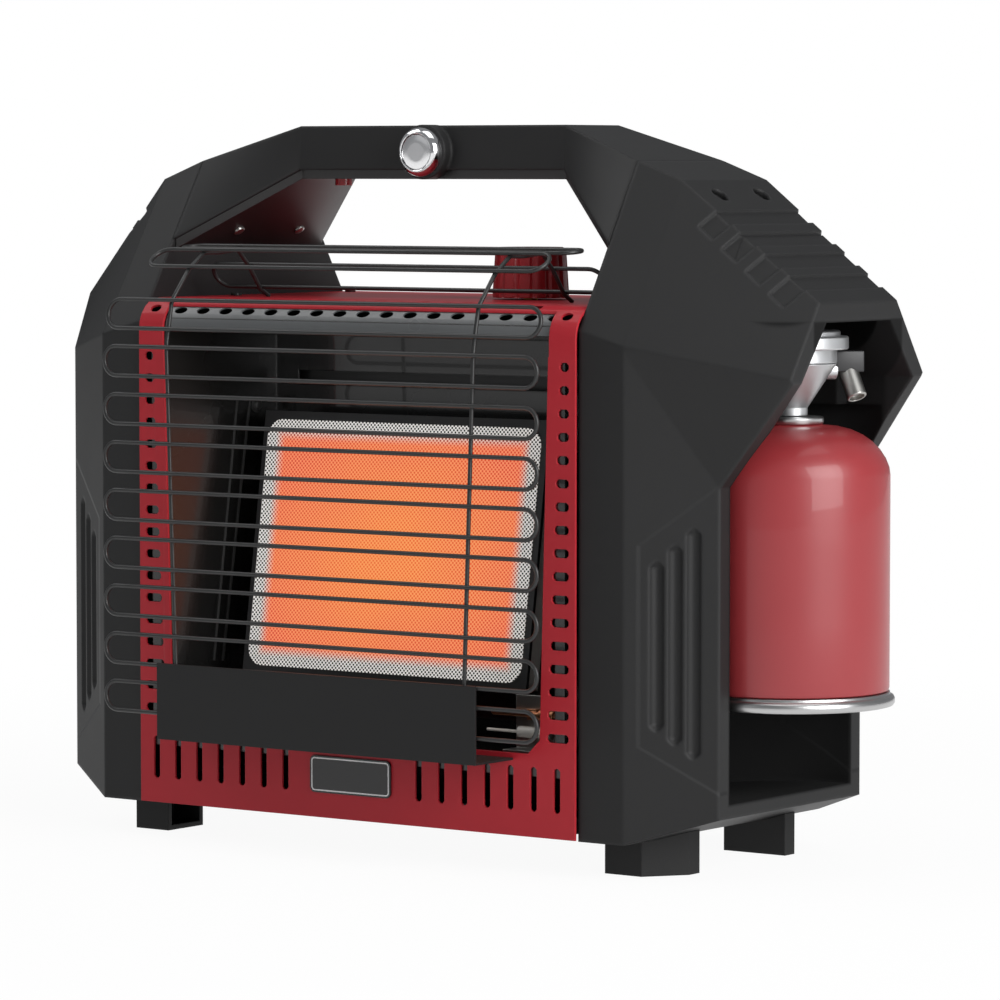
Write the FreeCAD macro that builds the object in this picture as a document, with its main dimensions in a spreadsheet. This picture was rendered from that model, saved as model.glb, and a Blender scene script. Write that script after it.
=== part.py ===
import FreeCAD, Part
import math
import operator
import os
import Sketcher

# A portable radiant gas heater: two moulded side shells, a carrying handle, a red steel front with a
# wire guard, a ceramic burner behind it and a gas canister in a bay at the right.
# Millimetres, +Z up, the front faces -Y. The design is drawn about the middle of the front and the feet,
# and everything is moved together at the end, so that the origin sits under the middle of the whole.

os.makedirs("parts", exist_ok=True)
doc = FreeCAD.newDocument("heater")
sheet = doc.addObject("Spreadsheet::Sheet", "Values")

VALUES = {
    # moulded shells
    "seam_x": 154.5, "corner_x": 184.0, "wall_x": 228.6, "head_x": 271.4,
    "shell_y": 99.5, "wall_y": 72.0, "shell_bottom": 20.0, "wall_bottom": 34.3,
    "crease_z": 299.9, "corner_z": 291.6, "knee_y": 42.2, "knee_z": 381.3,
    "seam_top_y": 42.9, "seam_top_z": 392.0, "seam_low_y": 71.7, "seam_low_z": 346.2,
    "head_low_z": 215.0, "head_tip_y": 67.7, "head_tip_z": 274.4,
    "slope_end_y": 39.5, "slope_end_z": 315.3, "left_end_y": 58.0, "left_end_z": 314.0,
    "left_side_z": 282.0, "skin": 3.5, "seam_gap": 0.4,
    "band_first": 0.25, "band_pitch": 0.178, "band_share": 0.62, "band_wrap": 7.5, "band_depth": 1.3,
    # handle
    "bar_x": 94.0, "bar_low_y": 28.2, "bar_top_y": 26.3, "bar_low_z": 386.8, "bar_top_z": 412.2,
    "liner": 3.0,
    # feet
    "foot_in": 155.7, "foot_out": 197.0, "foot_y_in": 43.5, "foot_y_out": 75.5, "foot_cham": 17.0,
    # front panel
    "steel": 1.5, "front_y": 102.2, "front_x": 154.1, "front_low": 20.6, "deck_z": 313.0,
    "roll_r": 18.0, "deck_back": 98.0, "open_low": 66.5, "open_x_low": 130.5, "open_x_top": 136.5,
    "vent_first": 47.3, "vent_pitch": 15.78, "vent_w": 4.9, "vent_low": 34.6, "vent_h": 25.0,
    "side_hole_x": 150.0, "side_hole_low": 76.0, "side_hole_pitch": 12.73, "side_hole_h": 5.3,
    # guard
    "wire_r": 1.25, "loop_x": 152.2, "loop_y": 135.2, "loop_h": 16.8, "loop_pitch": 27.47,
    "loop_top": 286.3, "upright_x": 108.0, "upright_lean": 7.5,
    # burner
    "tile_w": 196.0, "tile_h": 147.0, "tile_y": 63.4, "tile_z": 172.0, "tile_tilt": 8.6,
    # canister and bay
    "can_x": 227.8, "can_r": 55.0, "rim_r": 58.0, "rim_z": 91.8, "can_low": 99.6,
    "shoulder_z": 221.6, "dome_z": 248.7, "collar_top": 253.7, "collar_r": 17.6,
    "bay_room": 4.0, "bay_floor": 41.8, "bay_top": 304.4,
    # gas line
    "line_z": 281.0, "knob_x": 50.0, "knob_y": 2.0, "button_z": 397.0,
    "fit": 0.1, "body_gap": 0.3,
}
for i, (alias, value) in enumerate(VALUES.items(), 1):
    sheet.set(f"A{i}", alias)
    sheet.set(f"B{i}", str(value))
    sheet.setAlias(f"B{i}", alias)
doc.recompute()


def formula(value):
    return value.formula if isinstance(value, Size) else f"({value:.10g})"


def both_ways(sign, work):
    def forward(self, other):
        if not isinstance(other, (int, float)):
            return NotImplemented
        return Size(work(float(self), float(other)), f"({formula(self)} {sign} {formula(other)})")

    def backward(self, other):
        if not isinstance(other, (int, float)):
            return NotImplemented
        return Size(work(float(other), float(self)), f"({formula(other)} {sign} {formula(self)})")

    return forward, backward


class Size(float):
    """A number that keeps its formula on the sheet, so that an object can be bound to it."""

    def __new__(cls, value, text):
        made = super().__new__(cls, value)
        made.formula = text
        return made

    __add__, __radd__ = both_ways("+", operator.add)
    __sub__, __rsub__ = both_ways("-", operator.sub)
    __mul__, __rmul__ = both_ways("*", operator.mul)
    __truediv__, __rtruediv__ = both_ways("/", operator.truediv)

    def __neg__(self):
        return Size(-float(self), f"(0 - {self.formula})")


class Sizes:
    """Reads a size from the sheet by its name."""

    def __getattr__(self, alias):
        return Size(float(sheet.get(alias)), "Values." + alias)


V = Sizes()
bay_r = V.rim_r + V.bay_room
NODES = []
count = 0


def name(kind):
    global count
    count += 1
    return f"{kind}_{count}"


def bind(obj, **sizes):
    """Sets sizes; one that comes from the sheet is bound to its formula there."""
    for key, value in sizes.items():
        if isinstance(value, Size):
            obj.setExpression(key, value.formula)
        else:
            setattr(obj, key, value)
    return obj


def place(obj, at=(0, 0, 0), axis=(0, 0, 1), turn=0.0):
    obj.Placement = FreeCAD.Placement(FreeCAD.Vector(*at), FreeCAD.Rotation(FreeCAD.Vector(*axis), turn))
    return obj


def box(x0, x1, y0, y1, z0, z1):
    made = doc.addObject("Part::Box", name("Box"))
    bind(made, Length=x1 - x0, Width=y1 - y0, Height=z1 - z0)
    return place(made, (x0, y0, z0))


TURNS = {"x": ((0, 1, 0), 90), "y": ((1, 0, 0), -90), "z": ((0, 0, 1), 0)}


def cylinder(at, radius, length, axis="z", **more):
    made = bind(doc.addObject("Part::Cylinder", name("Cylinder")), Radius=radius, Height=length, **more)
    return place(made, at, *TURNS[axis])


def cone(at, r1, r2, length, axis="z"):
    made = bind(doc.addObject("Part::Cone", name("Cone")), Radius1=r1, Radius2=r2, Height=length)
    return place(made, at, *TURNS[axis])


def ball(at, radius):
    return place(bind(doc.addObject("Part::Sphere", name("Sphere")), Radius=radius), at)


def ring(at, radius, wire, axis="z", sweep=360.0, start=0.0):
    made = bind(doc.addObject("Part::Torus", name("Torus")), Radius1=radius, Radius2=wire, Angle3=sweep)
    turn, angle = TURNS[axis]
    made.Placement = FreeCAD.Placement(
        FreeCAD.Vector(*at),
        FreeCAD.Rotation(FreeCAD.Vector(*turn), angle) * FreeCAD.Rotation(FreeCAD.Vector(0, 0, 1), start))
    return made


def cut(base, *tools):
    made = doc.addObject("Part::Cut", name("Cut"))
    made.Base, made.Tool = base, tools[0] if len(tools) == 1 else fuse(*tools)
    return made


def fuse(*shapes):
    if len(shapes) == 1:
        return shapes[0]
    made = doc.addObject("Part::MultiFuse", name("Fuse"))
    made.Shapes = list(shapes)
    made.Refine = True
    return made


def common(*shapes):
    made = doc.addObject("Part::MultiCommon", name("Common"))
    made.Shapes = list(shapes)
    return made


PLANES = {  # how a sketch's own x and y lie in the model
    "xz": FreeCAD.Rotation(FreeCAD.Vector(1, 0, 0), 90),
    "yz": FreeCAD.Rotation(FreeCAD.Vector(1, 1, 1), 120),
    "xy": FreeCAD.Rotation(),
}
NORMALS = {"xz": (0, -1, 0), "yz": (1, 0, 0), "xy": (0, 0, 1)}


def outline(points, plane="xz", at=0.0, closed=True):
    made = doc.addObject("Sketcher::SketchObject", name("Sketch"))
    vectors = [FreeCAD.Vector(x, y, 0) for x, y in points]
    ends = vectors[1:] + vectors[:1] if closed else vectors[1:]
    for a, b in zip(vectors, ends):
        made.addGeometry(Part.LineSegment(a, b), False)
    normal = FreeCAD.Vector(*NORMALS[plane])
    made.Placement = FreeCAD.Placement(normal * at, PLANES[plane])
    return made


def extrude(points, plane, at, depth):
    made = doc.addObject("Part::Extrusion", name("Extrusion"))
    made.Base = outline(points, plane, at)
    made.DirMode, made.Solid = "Normal", True
    return bind(made, LengthFwd=depth)


def loft(*sections):
    made = doc.addObject("Part::Loft", name("Loft"))
    made.Sections, made.Solid, made.Ruled = list(sections), True, True
    return made


def revolve(points, at):
    """Turns an outline of (radius, height) points about an upright axis."""
    made = doc.addObject("Part::Revolution", name("Revolution"))
    made.Source = outline(points, "xz", 0.0)
    made.Axis, made.Base, made.Angle, made.Solid = FreeCAD.Vector(0, 0, 1), FreeCAD.Vector(0, 0, 0), 360.0, True
    return place(made, at)


def slots(centres, width, height, y0, depth):
    """Round-ended holes through a sheet that faces the front; centres are (x, z)."""
    made = []
    r = min(width, height) / 2
    for x, z in centres:
        points = []
        for quarter in range(8):
            a = math.radians(22.5 + 45 * quarter)
            cx = x + (width / 2 - r) * (1 if math.cos(a) > 0 else -1)
            cz = z + (height / 2 - r) * (1 if math.sin(a) > 0 else -1)
            points.append((cx + r * math.cos(a), cz + r * math.sin(a)))
        made.append(extrude(points, "xz", -y0 - depth, depth))
    return made


def node(label, obj, at=None):
    """Names a finished piece; each one keeps a placement of its own."""
    obj.Label = label
    NODES.append(obj)
    return obj


# The side shells: an outline at the seam, one at the front corner and one at the outer wall, joined
# by flat facets; the right one grows a head above the bay.
def section(x, half, grow=0.0):
    points = [(y, z) for y, z in half]
    mirrored = [(-y, z) for y, z in reversed(points)]
    return outline(points + mirrored, "yz", x)


def shell_sections(side, t):
    low = V.shell_bottom + t
    seam = [(V.shell_y - t, low), (V.shell_y - t, V.crease_z - 4 - t / 3), (V.shell_y - t, V.crease_z - t / 2),
            (V.seam_top_y - t / 2, V.seam_top_z - t)]
    corner = [(V.shell_y - t, low), (V.shell_y - t, V.corner_z - 4 - t / 3), (V.shell_y - t, V.corner_z - t / 2),
              (V.knee_y - t / 2, V.knee_z - t)]
    if side > 0:
        run = (V.wall_x - V.corner_x) / (V.head_x - V.corner_x)
        ridge_y = V.shell_y + (V.head_tip_y - V.shell_y) * run
        ridge_z = V.corner_z + (V.head_tip_z - V.corner_z) * run
        top_y = V.knee_y + (V.slope_end_y - V.knee_y) * run
        top_z = V.knee_z + (V.slope_end_z - V.knee_z) * run
        wall = [(V.wall_y - t, V.wall_bottom + t), (V.wall_y - t, V.head_low_z), (ridge_y - t, ridge_z - t / 2),
                (top_y - t / 2, top_z - 1.3 * t)]
    else:
        wall = [(V.wall_y - t, V.wall_bottom + t), (V.wall_y - t, V.left_side_z - 4 - t / 2),
                (V.wall_y - t, V.left_side_z - t / 2), (V.left_end_y - t, V.left_end_z - 1.6 * t)]
    inner = t if t else 0.0
    return [section(side * (V.seam_x + inner), seam), section(side * V.corner_x, corner),
            section(side * (V.wall_x - inner), wall)], wall


def trunk(side, t=0.0):
    return loft(*shell_sections(side, t)[0])


def slope_placement(obj, side, along, across, lift):
    """Lays a piece on the sloping shoulder: along from the knee, across in Y, lifted off the face."""
    if side > 0:
        dx, dz = V.head_x - V.corner_x, V.slope_end_z - V.knee_z
    else:
        dx, dz = V.wall_x - V.corner_x, V.left_end_z - V.knee_z
    angle = math.degrees(math.atan2(-dz, dx))
    turn = FreeCAD.Rotation(FreeCAD.Vector(0, 1, 0), angle)
    base = FreeCAD.Vector(V.corner_x, 0, V.knee_z) + turn.multVec(FreeCAD.Vector(along, across, lift))
    if side < 0:
        mirror = FreeCAD.Rotation(FreeCAD.Vector(0, 0, 1), 180)
        turn, base = mirror * turn, FreeCAD.Vector(-base.x, -base.y, base.z)
    obj.Placement = FreeCAD.Placement(base, turn)
    return obj


def shoulder_grooves(side, inner):
    """Four shallow bands across the shoulder, run over its edges down to the inner surface."""
    if side > 0:
        length = math.hypot(V.head_x - V.corner_x, V.slope_end_z - V.knee_z)
    else:
        length = math.hypot(V.wall_x - V.corner_x, V.left_end_z - V.knee_z)
    half = V.knee_y + V.band_wrap
    bands = []
    for i in range(4):
        blank = bind(doc.addObject("Part::Box", name("Box")), Length=V.band_share * V.band_pitch * length,
                     Width=2 * half, Height=24.0)
        slope_placement(blank, side, (V.band_first + V.band_pitch * i) * length, -half, -16.0)
        bands.append(cut(blank, inner))
    return bands


def screw_wells(side):
    return [slope_placement(bind(doc.addObject("Part::Cylinder", name("Cylinder")), Radius=5.5, Height=12.0),
                            side, 13.0, y, -3.0) for y in (-21.0, 21.0)]


def facet_point(x):
    """The front Y of the slanted side facet at a given X."""
    return V.shell_y + (V.wall_y - V.shell_y) * (x - V.corner_x) / (V.wall_x - V.corner_x)


def flutes(side):
    """Three upright half-round grooves in the side facet, front and rear."""
    made, radius, out = [], 4.7, 2.2
    slope = math.atan2(V.shell_y - V.wall_y, V.wall_x - V.corner_x)
    for i, x in enumerate((199.6, 208.1, 216.7)):
        low, high = 86.0 - 7.5 * i, 172.0 + 9.0 * i
        for front in (-1, 1):
            cx = x + out * math.sin(slope)
            cy = facet_point(x) + out * math.cos(slope)
            at = (side * cx, front * cy)
            made += [cylinder((*at, low), radius, high - low), cone((*at, high), radius, 1.6, 5.0),
                     cone((*at, low - 5.0), 1.6, radius, 5.0)]
    return made


def seam_window(side):
    x0, x1 = sorted((side * (V.seam_x - 2), side * (V.seam_x + V.skin + 2)))
    return box(x0, x1, -80, 80, 48, 285)


def head_section(x, t):
    """The head's outline at a given X, on the planes of the shoulder and of the side facets."""
    run = (x - V.corner_x) / (V.head_x - V.corner_x)
    ridge = (V.shell_y + (V.head_tip_y - V.shell_y) * run - t, V.corner_z + (V.head_tip_z - V.corner_z) * run - t / 2)
    top = (V.knee_y + (V.slope_end_y - V.knee_y) * run - t / 2, V.knee_z + (V.slope_end_z - V.knee_z) * run - 1.3 * t)
    return ridge, top


head = loft(
    section(V.wall_x - 0.01, [(V.wall_y, V.head_low_z), shell_sections(1, 0)[1][2], shell_sections(1, 0)[1][3]]),
    section(V.head_x, [(V.head_tip_y - 1.5, V.head_tip_z - 2), (V.head_tip_y, V.head_tip_z),
                       (V.slope_end_y, V.slope_end_z)]))
head_inner = loft(section(V.wall_x - 6, [(V.wall_y, V.head_low_z), *head_section(V.wall_x - 6, V.band_depth)]),
                  section(V.head_x + 4, [(V.head_tip_y - 4, V.head_tip_z - 6),
                                         *head_section(V.head_x + 4, V.band_depth)]))
mouth = [(-57.5, V.head_low_z - 6), (57.5, V.head_low_z - 6), (57.5, V.head_tip_z - 2), (32.8, V.bay_top),
         (-32.8, V.bay_top), (-57.5, V.head_tip_z - 2)]
bay = fuse(
    cylinder((V.can_x, 0, V.bay_floor), bay_r, 256 - V.bay_floor),
    cylinder((V.can_x, 0, 250), bay_r - 14, V.bay_top - 250),
    box(V.can_x, V.head_x + 20, -bay_r, bay_r, V.bay_floor, V.head_low_z - 2),
    extrude(mouth, "yz", V.can_x, 70))
bay_skin = fuse(
    cylinder((V.can_x, 0, 0), bay_r + V.skin, 256 + V.skin),
    cylinder((V.can_x, 0, 250), bay_r - 14 + V.skin, V.bay_top - 250 + V.skin),
    box(V.can_x, V.head_x + 20, -V.shell_y, V.shell_y, 0, V.bay_top + V.skin))
line_hole = cylinder((V.seam_x - 4.5, 0, V.line_z), 4.2, V.can_x - V.seam_x - 33.3, "x")

right_outer = cut(fuse(trunk(1), head),
                  *shoulder_grooves(1, fuse(trunk(1, V.band_depth), head_inner)))
right_hollow = cut(trunk(1, V.skin), bay_skin)
node("right_side_shell",
     cut(right_outer, bay, right_hollow, seam_window(1), line_hole, *screw_wells(1), *flutes(1)))
left_outer = cut(trunk(-1), *shoulder_grooves(-1, trunk(-1, V.band_depth)))
node("left_side_shell", cut(left_outer, trunk(-1, V.skin), seam_window(-1), *screw_wells(-1), *flutes(-1)))


# Feet: chamfered blocks under the shells, hollow towards the middle.
def foot(side, front):
    points = [(V.foot_in, V.foot_y_in), (V.foot_out, V.foot_y_in), (V.foot_out, V.foot_y_out - 22),
              (V.foot_out - V.foot_cham, V.foot_y_out), (V.foot_in, V.foot_y_out)]
    points = [(side * x, front * y) for x, y in points]
    block = extrude(points, "xy", 0.0, 27.0)
    x0, x1 = sorted((side * (V.foot_in - 1), side * (V.foot_in + 20)))
    y0, y1 = sorted((front * (V.foot_y_in + 3), front * (V.foot_y_out - 3)))
    return cut(block, trunk(side), box(x0, x1, y0, y1, 3, V.shell_bottom - 3))


for label, side, front in (("foot_front_right", 1, -1), ("foot_front_left", -1, -1),
                           ("foot_rear_right", 1, 1), ("foot_rear_left", -1, 1)):
    node(label, foot(side, front))


# Handle: a bar with two flared legs, open underneath and closed by a liner.
def handle_section(x, t, drop=0.0):
    share = max(0.0, (x - V.bar_x) / (V.seam_x - V.bar_x))
    low_y, low_z, top_y, top_z = [
        a + (b - a) * share for a, b in ((V.bar_low_y, V.seam_low_y), (V.bar_low_z, V.seam_low_z),
                                         (V.bar_top_y, V.seam_top_y), (V.bar_top_z, V.seam_top_z))]
    spread = (low_y - top_y) / (top_z - low_z)
    return [(low_y - t + drop * spread, low_z - drop), (top_y - t * 0.8, top_z - t)]


def handle_body(t, drop=0.0, roof=None):
    ends = V.seam_x - V.seam_gap - t
    parts = []
    for x0, x1 in ((-ends, -V.bar_x), (-V.bar_x, V.bar_x), (V.bar_x, ends)):
        halves = []
        for x in (x0, x1):
            half = handle_section(abs(x), t, drop)
            if roof is not None:
                (low_y, low_z), (top_y, top_z) = half
                share = roof / (top_z - low_z)
                half = [(low_y, low_z), (low_y + (top_y - low_y) * share, low_z + roof)]
            halves.append(section(x, half))
        parts.append(loft(*halves))
    return fuse(*parts)


handle_outer = handle_body(0.0)
handle_hollow = handle_body(V.skin, drop=3.0)
boss = cylinder((0, -34.5, V.button_z), 15.6, 12, "y")
boss_bore = cylinder((0, -40, V.button_z), 10.6, 30, "y")
node("handle_shell", cut(cut(fuse(handle_outer, boss), handle_hollow), boss_bore))

liner = handle_body(V.skin + 3 * V.body_gap, roof=V.liner)
leg_run = math.hypot(V.seam_x - V.bar_x, V.bar_low_z - V.seam_low_z)
grip_ribs = [box(x - 1.5, x + 1.5, -14, 14, V.bar_low_z + V.liner - 0.5, V.bar_low_z + V.liner + 4)
             for x in (-75, -55, -35, 35, 55, 75)]
node("handle_liner", fuse(liner, *grip_ribs))


def leg_screw(side, y):
    """A pan head on the sloping underside of a leg."""
    angle = math.degrees(math.atan2(V.bar_low_z - V.seam_low_z, V.seam_x - V.bar_x))
    share = 0.55
    x = V.bar_x + (V.seam_x - V.bar_x) * share
    z = V.bar_low_z + (V.seam_low_z - V.bar_low_z) * share
    made = bind(doc.addObject("Part::Cone", name("Cone")), Radius1=2.4, Radius2=3.2, Height=1.6)
    drop = 1.6
    return place(made, (side * (x - drop * math.sin(math.radians(angle))), y,
                        z - drop * math.cos(math.radians(angle))), (0, 1, 0), side * angle)


node("handle_screws", fuse(*[leg_screw(side, y) for side in (-1, 1) for y in (-24.0, 24.0)]))
node("handle_lock_pin", fuse(cylinder((-80, -4, V.bar_low_z - 9), 5.0, 6.5),
                             cylinder((-80, -4, V.bar_low_z - 2.5), 7.0, 2.5)))

# Igniter in the handle bar: a collar, a chrome ring, a push button on a spring and the piezo unit.
bz = V.button_z
node("igniter_bezel", cut(fuse(cylinder((0, -38.6, bz), 13.4, 4.1, "y"), cylinder((0, -36, bz), 10.5, 9, "y")),
                          cylinder((0, -39, bz), 9.3, 20, "y")))
node("igniter_button", fuse(cylinder((0, -43.0, bz), 9.2, 13.0, "y"), cone((0, -44.0, bz), 8.2, 9.2, 1.0, "y"),
                            cylinder((0, -30.0, bz), 3.0, 8.0, "y")))
node("igniter_spring", cut(cylinder((0, -29.8, bz), 5.6, 9.7, "y"), cylinder((0, -31, bz), 4.6, 12, "y")))
node("piezo_unit", cut(fuse(cylinder((0, -20.0, bz), 6.8, 38.0, "y"), box(-9, 9, -19, -15, bz - 6.8, bz + 6.8),
                            box(-3, 3, 15, bz * 0 + 24.0, bz - 7, bz - 2)),
                       cylinder((0, -21, bz), 3.4, 12, "y")))


# Front panel: one sheet, rolled back at the top into the deck.
def sheet_profile(t):
    """The rolled sheet's outer line in (y, z), set in by t, from the bottom to the back of the deck."""
    steps, r = 6, V.roll_r
    line = [(-V.front_y + t, V.front_low)]
    for i in range(steps + 1):
        a = math.radians(90 * i / steps)
        line.append((-V.front_y + r - (r - t) * math.cos(a), V.deck_z - r + (r - t) * math.sin(a)))
    return line + [(V.deck_back, V.deck_z - t)]


profile = sheet_profile(0.0) + list(reversed(sheet_profile(V.steel)))
panel = extrude(profile, "yz", -V.front_x, 2 * V.front_x)
opening = extrude([(-V.open_x_low + 8, V.open_low), (V.open_x_low - 8, V.open_low), (V.open_x_low, V.open_low + 8),
                   (V.open_x_top, 306), (-V.open_x_top, 306), (-V.open_x_low, V.open_low + 8)],
                  "xz", V.front_y - 12, 14)
vent_z = V.vent_low + V.vent_h / 2
vents = slots([(s * (V.vent_first + V.vent_pitch * k), vent_z) for s in (-1, 1) for k in range(7)],
              V.vent_w, V.vent_h, -V.front_y - 1, 4)
side_holes = []
for k in range(17):
    z = V.side_hole_low + V.side_hole_pitch * k
    w = 15.0 - 9.0 * k / 17
    side_holes += slots([(s * (V.side_hole_x - w / 2), z) for s in (-1, 1)], w, V.side_hole_h, -V.front_y - 1, 8)
deck_slots = [box(x - 4, x + 4, -76, -71.5, V.deck_z - 4, V.deck_z + 2)
              for x in [-124 + 15.5 * i for i in range(17)]]
knob_hole = cylinder((V.knob_x, V.knob_y, V.deck_z - 6), 6.5, 12)
badge_w, badge_h, badge_z = 57.0, 21.0, 45.4
node("front_panel", cut(panel, opening, knob_hole, *vents, *side_holes, *deck_slots))
node("badge_plate", box(-badge_w / 2, badge_w / 2, -V.front_y - 1.2, -V.front_y, badge_z - badge_h / 2,
                        badge_z + badge_h / 2))

# Rear cover and floor pan.
louvres = [box(-110 + 24 * i, -94 + 24 * i, 90, 105, z, z + 5) for i in range(10) for z in (60, 76, 230, 246, 262)]
rear_y = V.deck_back - 0.5
node("rear_cover", cut(box(-V.front_x, V.front_x, rear_y - V.steel, rear_y, V.front_low, V.deck_z - V.steel),
                       *louvres))
pan_z = 24.0
pan_front = V.front_y - V.steel
pan = cut(box(-V.front_x + 1, V.front_x - 1, -pan_front, rear_y - V.steel, pan_z, pan_z + 9),
          box(-V.front_x + 1 + V.steel, V.front_x - 1 - V.steel, -pan_front + V.steel, rear_y - 2 * V.steel,
              pan_z + V.steel, pan_z + 20))
air_holes = [box(x - 5, x + 5, y - 4, y + 4, pan_z - 2, pan_z + 6) for x in (-90, -60, -30, 30, 60, 90) for y in (-40, 40)]
node("floor_pan", cut(pan, *air_holes))
pan_top = pan_z + V.steel


# Reflector chamber: a tapered enamelled box open to the front.
def chamber_rect(y, hx, z0, z1):
    return outline([(-hx, z0), (hx, z0), (hx, z1), (-hx, z1)], "xz", -y)


cf = -(V.front_y - V.steel) + 0.1
chamber_back = -20.0
chamber_out = fuse(loft(chamber_rect(cf + 1.6, 141, 59, 302), chamber_rect(chamber_back, 118, 72, 292)),
                   box(-146, 146, cf, cf + V.steel + 0.4, 54, 293))
chamber_in = loft(chamber_rect(cf - 0.5, 139.7, 60.3, 300.7), chamber_rect(chamber_back - V.steel, 116.7, 73.3, 290.7))
tube_x, tube_z = 0.0, 118.0
node("reflector_chamber", cut(chamber_out, chamber_in, cylinder((tube_x, -30, tube_z), 17.5, 20, "y"),
                              box(-100, 100, chamber_back - 4, chamber_back + 2, 262, 270)))

# Burner, built upright and leaned back together: tile, gasket frame, plenum and front screen.
tilt = FreeCAD.Rotation(FreeCAD.Vector(1, 0, 0), -V.tile_tilt)
centre = FreeCAD.Vector(0, -V.tile_y, V.tile_z)


def leaned(obj):
    old = obj.Placement
    obj.Placement = FreeCAD.Placement(centre, tilt).multiply(old)
    return obj


def rect_frame(w, h, y0, y1, inner_w, inner_h):
    return [leaned(box(-w / 2, w / 2, y0, y1, -h / 2, h / 2)),
            leaned(box(-inner_w / 2, inner_w / 2, y0 - 1, y1 + 1, -inner_h / 2, inner_h / 2))]


tw, th = V.tile_w, V.tile_h
node("burner_screen", leaned(box(-tw / 2 + 1, tw / 2 - 1, -0.4, 0.4, -th / 2 + 1, th / 2 - 1)))
node("burner_tile", leaned(box(-tw / 2 + 8, tw / 2 - 8, 3.0, 15.0, -th / 2 + 8, th / 2 - 8)))
node("burner_frame", cut(*rect_frame(tw + 6, th + 6, 0.7, 3.0, tw - 20, th - 20)))
node("burner_gasket", cut(*rect_frame(tw + 2, th + 2, 3.0, 15.0, tw - 15.8, th - 15.8)))
plenum_outer = leaned(box(-tw / 2 - 3, tw / 2 + 3, 15.0, 28.0, -th / 2 - 3, th / 2 + 3))
plenum_inner = leaned(box(-tw / 2 + 2, tw / 2 - 2, 14.0, 26.5, -th / 2 + 2, th / 2 - 2))
node("burner_plenum", cut(plenum_outer, plenum_inner, cylinder((tube_x, -60, tube_z), 13.1, 60, "y")))
node("mixing_tube", cut(fuse(cylinder((tube_x, -50.0, tube_z), 13.0, 92.0, "y"),
                             cone((tube_x, 42.0, tube_z), 13.0, 18.0, 12.0, "y"),
                             cylinder((tube_x, -26.5, tube_z), 16.0, 3.0, "y")),
                        cylinder((tube_x, -52, tube_z), 11.0, 120, "y")))
side_arms = []
for s in (-1, 1):
    x0, x1 = sorted((s * (tw / 2 + 3), s * 117.5))
    for z in (-40, 40):
        side_arms.append(leaned(box(x0, x1, 22, 25, z - 6, z + 6)))
node("burner_brackets", common(fuse(*side_arms), chamber_in))

# Heat shield between the burner and the controls, from the pan to the deck.
shield_y = -14.0
node("heat_shield", cut(box(-125, 125, shield_y, shield_y + V.steel, pan_top, V.deck_z - V.steel),
                        cylinder((tube_x, -30, tube_z), 14.0, 40, "y")))

# Pilot gear at the lower right of the chamber.
px, py, pz = 112.0, -84.0, 66.5
node("pilot_bracket", fuse(box(px - 14, px + 14, py - 8, py + 8, pz - 2.0, pz), box(px - 14, px + 14, py + 5, py + 8, pz, 96)))
node("thermocouple", fuse(cylinder((px - 26, py, 86), 1.6, 44, "x"), cylinder((px + 6, py, 86), 3.0, 10, "x"),
                          box(px - 3, px + 3, py, py + 5, 83, 89)))
node("spark_electrode", fuse(cylinder((px - 30, py, 76), 0.9, 30, "x"), cylinder((px - 8, py, 76), 3.2, 22, "x"),
                             box(px - 3, px + 3, py, py + 5, 73, 79)))

# Gas valve below the deck, its stem and the knob above it.
vx, vy = V.knob_x, V.knob_y
valve_top = V.deck_z - V.steel
node("gas_valve", cut(fuse(box(vx - 16, vx + 16, vy - 12, vy + 12, 264, 296), cylinder((vx, vy, 296), 9.0, valve_top - 296),
                           cylinder((vx, vy + 12, 272), 6.0, 8, "y")),
                      cylinder((vx, vy, 286), 4.0 + V.fit, 40), cylinder((vx, vy + 10, 272), 3.05, 14, "y"),
                      cylinder((vx + 8, 0, V.line_z), 3.05, 10, "x")))
node("valve_stem", cylinder((vx, vy, 290), 4.0, V.deck_z + 20 - 290))
knob_low = V.deck_z + 1.0
knob_body = revolve([(0, 0), (22.0, 0), (22.0, 3.5), (18.6, 5.0), (15.2, 27.0), (13.6, 29.0), (0, 29.0)],
                    (vx, vy, knob_low))
knob_flutes = []
for i in range(12):
    a = 2 * math.pi * i / 12
    groove = bind(doc.addObject("Part::Cone", name("Cone")), Radius1=2.2, Radius2=1.7, Height=27.0)
    knob_flutes.append(place(groove, (vx + 19.6 * math.cos(a), vy + 19.6 * math.sin(a), knob_low + 5.4),
                             (math.sin(a), -math.cos(a), 0), 8.8))
node("control_knob", cut(knob_body, cylinder((vx, vy, knob_low - 1), 4.0 + 0.02, 20.02), *knob_flutes))

# Gas line from the regulator to the valve, and from the valve to the injector.
node("supply_pipe", cylinder((vx + 9.0, 0, V.line_z), 3.0, V.can_x - 27.8 - vx - 9.0, "x"))


def bend_pipe(points, radius):
    parts = []
    for (ax, ay, az), (bx, by, bz_) in zip(points, points[1:]):
        d = FreeCAD.Vector(bx - ax, by - ay, bz_ - az)
        run = bind(doc.addObject("Part::Cylinder", name("Cylinder")), Radius=radius, Height=d.Length)
        run.Placement = FreeCAD.Placement(FreeCAD.Vector(ax, ay, az), FreeCAD.Rotation(FreeCAD.Vector(0, 0, 1), d))
        parts.append(run)
    parts += [ball(p, radius) for p in points[1:-1]]
    return fuse(*parts)


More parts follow.
